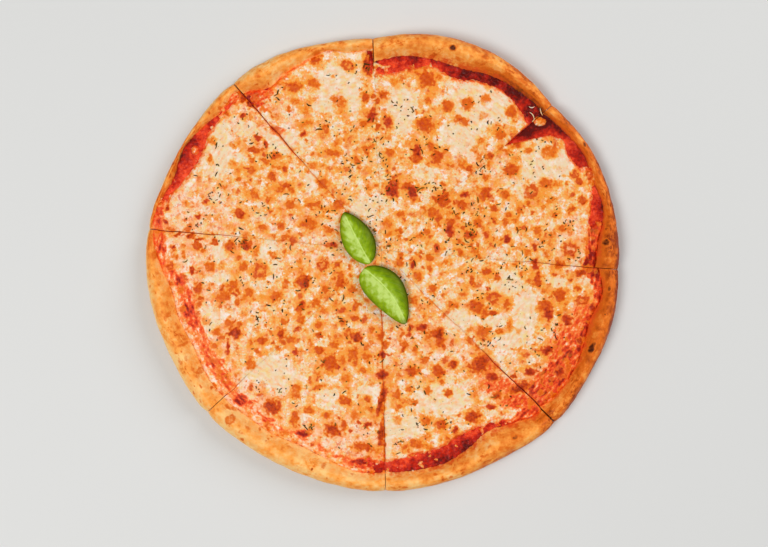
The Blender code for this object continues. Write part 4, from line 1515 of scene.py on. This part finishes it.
@dataclass
class Dough:
    """The dough: a flat base and a puffed rim for each slice."""

    layout: Layout
    layers: Layers
    seed: int = 5
    pitch: float = 0.6 * MM
    crest_share: float = 0.44
    widest_height: float = 5.5 * MM
    undercut: float = 6.5 * MM
    outer_steps: int = 30
    under_steps: int = 9
    inner_steps: int = 24
    closed_above: float = 0.55
    freckles: int = 420
    freckled: tuple = (
        (0, 1.0), (60, 0.8), (90, 0.35), (150, 0.5), (180, 0.9), (225, 0.7), (250, 0.3), (290, 0.5),
        (305, 1.0), (360, 1.0),
    )
    soak_by_angle: tuple = (
        (0, 0.65), (60, 0.6), (90, 0.3), (165, 0.45), (190, 0.2), (262, 0.2), (275, 0.6), (300, 0.5),
        (360, 0.65),
    )
    bake_by_angle: tuple = (
        (0, 0.7), (20, 0.62), (45, 0.48), (60, 0.42), (90, 0.3), (110, 0.26), (135, 0.34), (160, 0.54),
        (180, 0.42), (205, 0.26), (230, 0.18), (255, 0.2), (275, 0.22), (300, 0.4), (330, 0.62), (345, 0.74),
        (360, 0.7),
    )
    foot_by_angle: tuple = (
        (0, 0.5), (30, 0.5), (42, 1.0), (56, 0.9), (68, 0.3), (80, 0.0), (300, 0.0), (325, 0.3), (340, 0.6),
        (360, 0.5),
    )

    def __post_init__(self) -> None:
        """Draws the noise."""
        self.wave = Unevenness(self.seed)
        self.ripple = Unevenness(self.seed + 1)
        self.scorched = list(RIM_MARKS)
        self.add_freckles()

    def add_freckles(self) -> None:
        """Adds small faint marks all round the rim, more of them where it is baked darker."""
        draw = random.Random(self.seed)
        angles = np.array([draw.uniform(0, 360) for _ in range(self.freckles)])
        ahead = np.stack([np.cos(np.radians(angles)), np.sin(np.radians(angles))], 1)
        x, y = (self.layout.centre + ahead * self.layout.typical_radius / 2).T
        found, share, _ = self.layout.find(x, y)
        for angle, index, part in zip(angles, found, share):
            if draw.random() > by_angle(self.freckled, angle):
                continue
            place = np.array([part])
            edge, width = self.layout.outer(index, place)[0], self.layout.rim(index, place)[0]
            radius = (edge - width * draw.uniform(0.12, 1.0)) / MM
            size = draw.uniform(0.5, 1.5)
            long, dark = size * draw.uniform(1, 2.4), draw.uniform(0.2, 0.6)
            self.scorched.append(Mark(angle, radius, long, size, dark))

    def section(self, index: int, share: Array) -> tuple[Array, Array, Array]:
        """The rings of a slice's dough.

        Args:
            index: The slice.
            share: The shares of its angle that have a ring.

        Returns:
            Radii, heights, and how far up and over the rim each point is, one row for each ring.
        """
        edge, width = self.layout.outer(index, share), self.layout.rim(index, share)
        crest = self.layers.crest(index, share)
        outside = self.crest_share * width
        radii, heights, turns = [], [], []

        def point(radius: Array, height: Array, turn: float) -> None:
            """Adds a point to every ring."""
            radii.append(radius)
            heights.append(np.broadcast_to(height, share.shape))
            turns.append(np.full(share.shape, turn))

        tip = np.full(share.shape, self.layout.tip_radius)
        point(tip, 0.0, -1.0)
        for part in (0.3, 0.6, 0.85):
            point(tip + (edge - self.undercut - tip) * part, 0.0, -1.0)
        for lean in np.radians(np.linspace(-90, 0, self.under_steps, endpoint=False)):
            height = self.widest_height * (1 + math.sin(lean))
            point(edge - self.undercut * (1 - math.cos(lean)), height, lean)
        for lean in np.radians(np.linspace(0, 90, self.outer_steps, endpoint=False)):
            height = self.widest_height + (crest - self.widest_height) * math.sin(lean)
            point(edge - outside * (1 - math.cos(lean)), height, lean)
        for step in np.linspace(0, 1, self.inner_steps):
            fall = 0.65 * (1 + math.cos(math.pi * step)) / 2 + 0.35 * (1 - step)
            height = self.layers.dough + (crest - self.layers.dough) * fall
            point(edge - outside - (width - outside) * step, height, math.pi / 2 + step)
        point(tip, self.layers.dough, 4.0)
        point(tip, 0.0, -1.0)
        return np.array(radii).T, np.array(heights).T, np.array(turns).T

    def slice_mesh(self, index: int) -> Mesh:
        """Builds one slice's dough as a closed mesh with the values of its look."""
        share = self.layout.shares(index, self.pitch)
        radii, heights, turns = self.section(index, share)
        mesh, row, column = loft(f"dough_{index + 1}", radii)
        radius, height, turn = radii[row, column], heights[row, column], turns[row, column]
        shares = share[row]
        x, y = self.layout.place(index, shares, radius)
        shown = ease(-1.3, -0.4, turn) * ease(2.62, 2.3, turn)
        around = self.layout.cut_angle(index) + shares * self.layout.span(index)
        around = around * self.layout.typical_radius
        climb = np.where(turn < 2, turn * 8 * MM, turn * 9 * MM)
        dents = 0.5 * self.wave.rough(around, climb, 9 * MM)
        dents += 0.22 * self.ripple.rough(around, climb * 3.2, 7 * MM)
        dents += 0.1 * self.wave.at(around, climb, 1.4 * MM)
        crease = ease(0.11, 0.0, np.abs(self.ripple.rough(around + 0.3, climb * 2.2, 8 * MM)))
        crease *= ease(-0.1, 0.4, self.wave.at(around + 0.9, climb, 16 * MM))
        wrinkled = ease(0.65, 0.85, around / self.layout.typical_radius)
        wrinkled *= ease(1.3, 1.08, around / self.layout.typical_radius)
        ridges = wrinkled * np.sin(climb / (0.62 * MM) + 3 * self.wave.at(around, climb, 9 * MM))
        dents += 0.2 * ridges - 0.35 * crease
        char, rise = self.marks(x, y)
        out = np.clip(np.cos(np.clip(turn, -math.pi / 2, math.pi / 2)), 0, 1)
        lift = shown * (dents * MM + rise)
        radius = radius + lift * out * 0.6
        height = height + lift * (1 - 0.6 * out)
        x, y = self.layout.place(index, shares, radius)
        x, y = self.layout.draw_together(index, x, y, np.maximum(ease(1.0, 0.2, turn), self.closed_above))
        move_corners(mesh, np.stack([x, y, height], 1))
        turned = self.layout.turned(x, y)
        degrees = np.degrees(turned) % 360
        bake = by_angle(self.bake_by_angle, degrees) - 0.45 * ease(-0.5, -1.2, turn)
        # The outer wall is painted browner on the right and paler on the left: partly real baking, partly
        # painted shade on the right and painted light on the left.
        outer_wall_bake_and_shade = ease(1.1, 0.2, turn) * ease(-0.9, -0.2, turn)
        # Painted light: the inner slope of the rim on the left side, which faces away from the lamp, is
        # painted paler.
        painted_light_inner_slope = ease(1.5, 2.0, turn) * ease(0.3, -0.5, np.cos(turned))
        bake = bake + outer_wall_bake_and_shade * (0.4 * np.cos(turned) - 0.04) - 0.08 * painted_light_inner_slope
        # Creases are painted darker and ridge tops slightly paler.
        bake = bake + 0.3 * self.wave.rough(around, climb, 12 * MM) - 0.03 * ridges + 0.3 * crease
        bake = bake + 0.22 * self.ripple.rough(around, climb, 4 * MM)
        foot = by_angle(self.foot_by_angle, degrees) * ease(1.55, 2.15, turn) * shown
        paint(mesh, "bake", bake)
        paint(mesh, "mark", np.maximum(char * shown, 0.9 * foot))
        soak = by_angle(self.soak_by_angle, degrees) * (1 + self.wave.rough(around, climb, 6 * MM))
        paint(mesh, "soak", soak * ease(1.75, 2.35, turn))
        close_loft(mesh)
        return mesh

    def marks(self, x: Array, y: Array) -> Pair:
        """How scorched the rim is at each place, and how high its blisters stand."""
        dark, rise = np.zeros_like(x), np.zeros_like(x)
        away_x, away_y = x - self.layout.centre[0], y - self.layout.centre[1]
        bend = 0.6 * MM * self.wave.at(x, y, 2.5 * MM)
        for mark in self.scorched:
            angle = math.radians(mark.angle)
            out = away_x * math.cos(angle) + away_y * math.sin(angle) - mark.radius * MM + bend
            side = away_y * math.cos(angle) - away_x * math.sin(angle) + bend
            away = np.hypot(side / (mark.along * MM), out / (mark.across * MM))
            ring = 1 - mark.hollow * ease(0.85, 0.45, away)
            dark = np.maximum(dark, mark.dark * ease(1.3, 0.35 + 0.55 * mark.hollow, away) * ring)
            rise = np.maximum(rise, mark.rise * MM * np.clip(1 - (away / 1.5) ** 2, 0, 1) ** 2)
        return dark, rise

    def build(self) -> None:
        """Builds the dough of every slice."""
        stand_slices("baked_dough", "dough", DoughFinish().material(), self.slice_mesh)


# The sauce

@dataclass
class Sauce:
    """The tomato sauce of each slice, which shows between the rim and the cheese."""

    layout: Layout
    layers: Layers
    seed: int = 41
    pitch: float = 0.7 * MM
    shown_steps: int = 44
    lap: float = 0.12
    climb: float = 0.2 * MM
    under_cheese: float = 5.0 * MM
    ragged_by: float = 1.5 * MM
    bake_by_angle: tuple = (
        (0, 0.6), (8, 0.45), (30, 0.5), (40, 0.7), (58, 0.95), (70, 0.7), (82, 0.45), (92, 0.25), (110, 0.4),
        (135, 0.4), (165, 0.42), (180, 0.25), (215, 0.1), (260, 0.3), (275, 0.5), (300, 0.6), (330, 0.5),
        (360, 0.6),
    )

    def __post_init__(self) -> None:
        """Draws the noise."""
        self.wave = Unevenness(self.seed)

    def slice_mesh(self, index: int) -> Mesh:
        """Builds one slice's sauce as a closed mesh with the values of its look."""
        share = self.layout.shares(index, self.pitch)
        tip = np.full(share.shape, self.layout.tip_radius)
        outer = self.layout.foot(index, share)
        far = outer + self.lap * self.layout.rim(index, share)
        near = self.layout.cheese_edge(index, share) - self.under_cheese
        bottom = self.layers.dough - 0.1 * MM
        shown = [far + (near - far) * step for step in np.linspace(0, 1, self.shown_steps)]
        radii = np.array([tip, far, *shown, tip, tip]).T
        heights = np.array([bottom, bottom] + [self.layers.sauce_top] * (self.shown_steps + 1) + [bottom])
        mesh, row, column = loft(f"sauce_{index + 1}", radii)
        radius, height, shares = radii[row, column], heights[column], share[row]
        x, y = self.layout.place(index, shares, radius)
        top = (column >= 2) & (column < radii.shape[1] - 2)
        ragged = top * ease(3 * MM, 0, np.abs(radius - far[row]))
        ragged = ragged * np.abs(self.wave.rough(x + 0.3, y, 4 * MM))
        x, y = self.layout.place(index, shares, radius - self.ragged_by * ragged)
        x, y = self.layout.draw_together(index, x, y, 0.9)
        beyond = np.clip((radius - outer[row]) / (self.lap * self.layout.rim(index, shares)), 0, 1)
        grain = 0.42 * self.wave.rough(x, y, 3.2 * MM) + 0.18 * self.wave.at(x, y, 1.1 * MM)
        to_cut = np.maximum(self.layout.to_cuts(index, x, y), 0)
        sunk = 0.6 * MM * np.exp(-to_cut / (1.5 * MM))
        height = height + top * (grain * MM - sunk + self.climb * beyond ** 2)
        move_corners(mesh, np.stack([x, y, height], 1))
        bake = by_angle(self.bake_by_angle, np.degrees(self.layout.turned(x, y)) % 360)
        # Painted shade in the cut notches.
        bake += 0.5 * cover(CUT_NOTCH_SHADE, x, y)
        bake += 0.5 * (radius - self.layout.cheese_edge(index, shares)) / (12 * MM) - 0.2
        paint(mesh, "bake", bake + 0.5 * self.wave.rough(x, y, 8 * MM))
        close_loft(mesh)
        return mesh

    def build(self) -> None:
        """Builds the sauce of every slice."""
        stand_slices("tomato_sauce", "sauce", SauceFinish().material(), self.slice_mesh)


@dataclass
class Threads:
    """Thin curls of cheese on the bare sauce. Their ends and middles are in the picture's pixels."""

    layers: Layers
    thickness: float = 0.35 * MM
    tint: float = 0.1
    curls: tuple = (((529, 106), (532, 109), (535, 106)), ((540.5, 107.5), (540.5, 112), (543, 115.5)),
                    ((529.5, 112), (534, 114), (534.2, 118.5)), ((534.4, 118), (535, 120), (532, 121.5)),
                    ((545.5, 108.5), (548.5, 110), (547, 113.5)))
    along: int = 20
    around: int = 8

    def build(self) -> None:
        """Builds the curls."""
        joined = bmesh.new()
        for number, knots in enumerate(self.curls):
            first, middle, last = np.array([on_table(*knot) for knot in knots])
            mesh, turn, share = sheet(f"thread_{number + 1}", self.around, self.along)
            share, turn = share[:, None], 2 * math.pi * turn
            path = (1 - share) ** 2 * first + 2 * share * (1 - share) * middle + share ** 2 * last
            ahead = (1 - share) * (middle - first) + share * (last - middle)
            ahead /= np.hypot(*ahead.T)[:, None]
            girth = self.thickness * np.sqrt(np.sin(math.pi * share[:, 0]).clip(0))
            x = path[:, 0] - ahead[:, 1] * girth * np.cos(turn)
            y = path[:, 1] + ahead[:, 0] * girth * np.cos(turn)
            height = self.layers.sauce_top + self.thickness + girth * np.sin(turn)
            move_corners(mesh, np.stack([x, y, height], 1))
            close_loft(mesh)
            joined.from_mesh(mesh)
        mesh = bpy.data.meshes.new("cheese_threads")
        joined.to_mesh(mesh)
        joined.free()
        for name in CHEESE_VALUES:
            paint(mesh, name, np.full(len(mesh.vertices), self.tint))
        stand("cheese_threads", mesh, CheeseFinish().material(), 60)


# Herbs and leaves

@dataclass(frozen=True)
class Blade:
    """One basil leaf, in millimetres.

    Attributes:
        node: The solid that it stands for.
        base: Where it starts, from the middle of the pizza.
        tip: Where it ends.
        right: Its width right of the midrib.
        left: Its width left of it.
        bow: How far it bends to the left.
        arch: How high its middle stands.
        belly: How near the base it is widest.
    """

    node: str
    base: tuple[float, float]
    tip: tuple[float, float]
    right: float
    left: float
    bow: float
    arch: float
    belly: float


BLADES = (
    Blade("basil_leaf_upper", (-7.9, -0.4), (-24.5, 31.3), 10.0, 9.4, 0.2, 3.2, 0.84),
    Blade("basil_leaf_lower", (-11.4, -4.0), (14.8, -38.4), 12.3, 10.6, 3.6, 4.2, 0.72),
)


@dataclass
class Basil:
    """Two fresh basil leaves near the middle."""

    columns: int = 110
    rows: int = 70
    thickness: float = 0.35 * MM
    fullness: float = 0.7
    bluntness: float = 0.05
    quilting: float = 1.3 * MM
    droop: float = 2.4 * MM
    waves: float = 0.35 * MM
    vein_pairs: int = 6
    vein_lean: float = 0.32
    midrib_width: float = 0.34
    valley_width: float = 1.3

    def over(self, x: Array, y: Array, room: float) -> Array:
        """Whether a leaf lies over each place, give or take some room."""
        covered = np.zeros(np.shape(x), bool)
        for blade in BLADES:
            base, tip = np.array(blade.base) * MM, np.array(blade.tip) * MM
            axis = tip - base
            share = np.clip(((x - base[0]) * axis[0] + (y - base[1]) * axis[1]) / (axis @ axis), 0, 1)
            half = max(blade.left, blade.right) * MM * np.sin(math.pi * share ** blade.belly) ** self.fullness
            away = np.hypot(x - base[0] - axis[0] * share, y - base[1] - axis[1] * share)
            covered |= away < half + room
        return covered

    def leaf_mesh(self, blade: Blade) -> Mesh:
        """Builds one leaf's blade with the values of its look."""
        mesh, share, side = sheet(blade.node + "_blade", self.columns, self.rows)
        side = 2 * side - 1
        base, tip = np.array(blade.base) * MM, np.array(blade.tip) * MM
        ahead = (tip - base) / np.linalg.norm(tip - base)
        across = np.array([-ahead[1], ahead[0]])
        swell = np.sin(math.pi * share)
        rounded = self.bluntness + (1 - self.bluntness) * np.abs(
            np.sin(math.pi * share ** blade.belly)) ** self.fullness
        half = np.where(side > 0, blade.left, blade.right) * rounded
        offset = (side * half + blade.bow * swell) * MM
        x = base[0] + (tip - base)[0] * share + across[0] * offset
        y = base[1] + (tip - base)[1] * share + across[1] * offset
        height = blade.arch * MM * (1 - (2 * share - 1) ** 2)
        height += self.quilting * np.sin(math.pi * np.abs(side)) * swell - self.droop * side * side * swell
        height += self.waves * np.sin(9 * share + 3 * side)
        midrib = np.exp(-(np.abs(side) * half / self.midrib_width) ** 2)
        valley = np.exp(-(np.abs(side) * half / self.valley_width) ** 2)
        veins, quilt = self.side_veins(share, side)
        height += MM * (0.25 * midrib - 0.45 * valley + 0.12 * quilt * swell)
        height -= 0.06 * MM * veins
        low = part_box(blade.node)[0].z
        height += low - height.min() + 0.1 * MM
        move_corners(mesh, np.stack([x, y, height], 1))
        fade = ease(0.0, 0.06, share) * ease(0.97, 0.85, share)
        # Painted shade on the half that faces away from the light, with darker margins and tip.
        shaded = ease(-0.15, 0.35, side * across[0])
        margin = 0.5 * ease(0.8, 1.0, np.abs(side)) + 0.7 * shaded * ease(0.3, 0.95, np.abs(side))
        paint(mesh, "vein", np.clip(0.95 * midrib * fade + 0.15 * veins * fade, 0, 1))
        paint(mesh, "rim", np.clip(margin + 0.7 * ease(0.88, 1.0, share), 0, 1))
        # Painted sheen on the half that faces the light, strongest near the midrib.
        lit = (0.12 + 0.34 * ease(0.95, 0.2, np.abs(side))) * (1 - shaded)
        paint(mesh, "quilt", 0.14 * quilt + lit + 0.12 * shaded * ease(0.6, 0.1, np.abs(side)))
        return mesh

    def side_veins(self, share: Array, side: Array) -> Pair:
        """The side veins and the puffed blade between them.

        Args:
            share: Shares of the way from base to tip.
            side: Shares of the way to the margins, from -1 to 1.

        Returns:
            How near each place is to a vein, and how puffed it is, from 0 to 1.
        """
        flow = share - self.vein_lean * np.abs(side) ** 1.3 + np.where(side > 0, 0.0, 0.04)
        phase = (flow * (self.vein_pairs + 1)) % 1.0
        away = np.minimum(phase, 1 - phase)
        return ease(0.09, 0.0, away) * ease(1.0, 0.6, np.abs(side)), np.sin(math.pi * phase) ** 0.8

    def build(self) -> None:
        """Builds both leaves."""
        finish = LeafFinish().material()
        for blade in BLADES:
            leaf = stand(blade.node.replace("basil_leaf", "fresh_basil"), self.leaf_mesh(blade), finish,
                         60, (blade.node,))
            wall = leaf.modifiers.new("thickness", "SOLIDIFY")
            wall.thickness = self.thickness
            wall.offset = 1


@dataclass
class Herbs:
    """Dried herb flakes, scattered in loose clumps."""

    layout: Layout
    cheese: Cheese
    basil: Basil
    seed: int = 71
    clumps: int = 110
    clump_size: tuple[int, int] = (2, 9)
    singles: int = 380
    reach: float = 128 * MM
    crowded: tuple = ((375, 160), (515, 258), (395, 205), (440, 240))
    crowd_spread: float = 13 * MM
    clump_spread: float = 3.2
    widths: tuple[float, float] = (0.5, 0.9)
    thicknesses: tuple[float, float] = (0.25, 0.45)
    longest: float = 4.5
    leaf_room: float = 0.5 * MM
    cut_room: float = 0.6 * MM
    edge_room: float = 2 * MM

    def flake(self, herbs: bmesh.types.BMesh, pattern: list, draw: random.Random, place: Vector) -> None:
        """Adds one curved flake, half sunk in the cheese.

        Args:
            herbs: The mesh that holds them all.
            pattern: The plain flake that each one is copied from.
            draw: The source of its sizes.
            place: Where it lies.
        """
        length = min(0.7 + draw.expovariate(1.2), self.longest) * MM
        width, thick = draw.uniform(*self.widths) * MM, draw.uniform(*self.thicknesses) * MM
        bow, colour = draw.uniform(-0.22, 0.22), draw.random()
        kind = herbs.verts.layers.float["kind"]
        made = [item for item in bmesh.ops.duplicate(herbs, geom=pattern)["geom"]
                if isinstance(item, bmesh.types.BMVert)]
        for corner in made:
            along = corner.co.x
            taper = 1 - 1.6 * along ** 2
            corner.co = (along * length, corner.co.y * width * taper + bow * length * (1 - 4 * along ** 2),
                         corner.co.z * thick * taper)
            corner[kind] = colour
        turn = Matrix.Rotation(draw.uniform(0, 2 * math.pi), 3, "Z")
        tilt = Matrix.Rotation(draw.uniform(-0.1, 0.1), 3, "Y")
        bmesh.ops.rotate(herbs, verts=made, matrix=turn @ tilt)
        bmesh.ops.translate(herbs, verts=made, vec=place)

    def places(self, draw: random.Random) -> list[Vector]:
        """Draws the flakes' places on the cheese, clear of the leaves and the cuts."""
        spots = []
        for number in range(self.clumps):
            angle, reach = draw.uniform(0, 2 * math.pi), draw.random() ** 0.6 * self.reach
            middle = self.layout.centre + reach * np.array([math.cos(angle), math.sin(angle)])
            if number % 4 == 0:
                spread = np.array([draw.gauss(0, self.crowd_spread), draw.gauss(0, self.crowd_spread)])
                middle = np.array(on_table(*draw.choice(self.crowded))) + spread
            for _ in range(draw.randint(*self.clump_size)):
                aside = [draw.gauss(0, self.clump_spread), draw.gauss(0, self.clump_spread)]
                spots.append(middle + np.array(aside) * MM)
        for _ in range(self.singles):
            angle, reach = draw.uniform(0, 2 * math.pi), draw.random() ** 0.55 * self.reach
            spots.append(self.layout.centre + reach * np.array([math.cos(angle), math.sin(angle)]))
        x, y = np.array(spots).T
        found, share, radius = self.layout.find(x, y)
        covered = self.basil.over(x, y, self.leaf_room)
        chosen = []
        for index in range(len(WEDGES)):
            good = (found == index) & ~covered & (self.layout.to_cuts(index, x, y) > self.cut_room)
            good &= radius < self.layout.cheese_edge(index, share) - self.edge_room
            height, _ = self.cheese.surface(index, x[good], y[good])
            chosen += [Vector(place) for place in zip(x[good], y[good], height + 0.1 * MM)]
        return chosen

    def build(self) -> None:
        """Builds all the flakes as one piece."""
        draw = random.Random(self.seed)
        herbs = bmesh.new()
        herbs.verts.layers.float.new("kind")
        bmesh.ops.create_cube(herbs, size=1)
        long_edges = [edge for edge in herbs.edges if abs(edge.verts[0].co.x - edge.verts[1].co.x) > 0.5]
        bmesh.ops.subdivide_edges(herbs, edges=long_edges, cuts=2, use_grid_fill=True)
        pattern = herbs.verts[:] + herbs.edges[:] + herbs.faces[:]
        for place in self.places(draw):
            self.flake(herbs, pattern, draw, place)
        bmesh.ops.delete(herbs, geom=pattern, context="VERTS")
        mesh = bpy.data.meshes.new("dried_herbs")
        herbs.to_mesh(mesh)
        herbs.free()
        stand("dried_herbs", mesh, HerbFinish().material(), 30)


# The picture

@dataclass
class Studio:
    """A pale floor, soft light from the left, and a camera straight above."""

    aim: tuple[float, float] = (0.95 * MM, -7.0 * MM)
    view_width: float = 486 * MM
    distance: float = 1.2
    surface: float = 10 * MM
    floor_reach: float = 12.0
    floor_colour: Colour = linear(214, 214, 212)
    floor_roughness: float = 0.7
    key: tuple[float, float, float] = (-0.8, -0.45, 1.7)
    key_size: float = 1.0
    key_watts: float = 22.0
    fill: tuple[float, float, float] = (1.5, 0.9, 1.3)
    fill_size: float = 1.6
    fill_watts: float = 25.0
    glow: float = 0.29

    def build(self) -> None:
        """Sets the scene."""
        self.floor()
        self.light()
        self.camera()
        bpy.context.scene.view_settings.view_transform = "Standard"

    def floor(self) -> None:
        """Lays a plain pale floor."""
        plane = bmesh.new()
        bmesh.ops.create_grid(plane, x_segments=1, y_segments=1, size=self.floor_reach)
        mesh = bpy.data.meshes.new("floor")
        plane.to_mesh(mesh)
        plane.free()
        recipe = Recipe("pale_floor")
        mesh.materials.append(recipe.finish(self.floor_colour, self.floor_roughness, None))
        ground = bpy.data.objects.new("floor", mesh)
        bpy.context.scene.collection.objects.link(ground)

    def light(self) -> None:
        """Hangs a soft key light on the left and a broad weak one on the right."""
        self.lamp("key", self.key, self.key_size, self.key_watts)
        self.lamp("fill", self.fill, self.fill_size, self.fill_watts)
        world = bpy.data.worlds.new("studio")
        world.use_nodes = True
        sky = world.node_tree.nodes["Background"]
        sky.inputs["Color"].default_value = (1, 1, 1, 1)
        sky.inputs["Strength"].default_value = self.glow
        bpy.context.scene.world = world

    @staticmethod
    def lamp(name: str, place: tuple[float, float, float], size: float, watts: float) -> None:
        """Hangs one round lamp that points at the pizza.

        Args:
            name: Its name.
            place: Where it hangs.
            size: How wide it is.
            watts: How strong it is.
        """
        light = bpy.data.lights.new(name, "AREA")
        light.shape = "DISK"
        light.size = size
        light.energy = watts
        holder = bpy.data.objects.new(name, light)
        holder.location = place
        holder.rotation_euler = (-Vector(place)).to_track_quat("-Z", "Y").to_euler()
        bpy.context.scene.collection.objects.link(holder)

    def camera(self) -> None:
        """Looks straight down with a long lens."""
        lens = bpy.data.cameras.new("camera")
        lens.lens = lens.sensor_width * (self.distance - self.surface) / self.view_width
        eye = bpy.data.objects.new("camera", lens)
        eye.location = (*self.aim, self.distance)
        bpy.context.scene.collection.objects.link(eye)
        bpy.context.scene.camera = eye


def main() -> None:
    """Builds the pizza and the picture."""
    logging.basicConfig(level=logging.INFO, format="%(name)s %(message)s")
    layout = Layout()
    layers = Layers(layout)
    Studio().build()
    Dough(layout, layers).build()
    Sauce(layout, layers).build()
    cheese = Cheese(layout, layers)
    cheese.build()
    Threads(layers).build()
    basil = Basil()
    basil.build()
    Herbs(layout, cheese, basil).build()


if __name__ == "__main__":
    main()
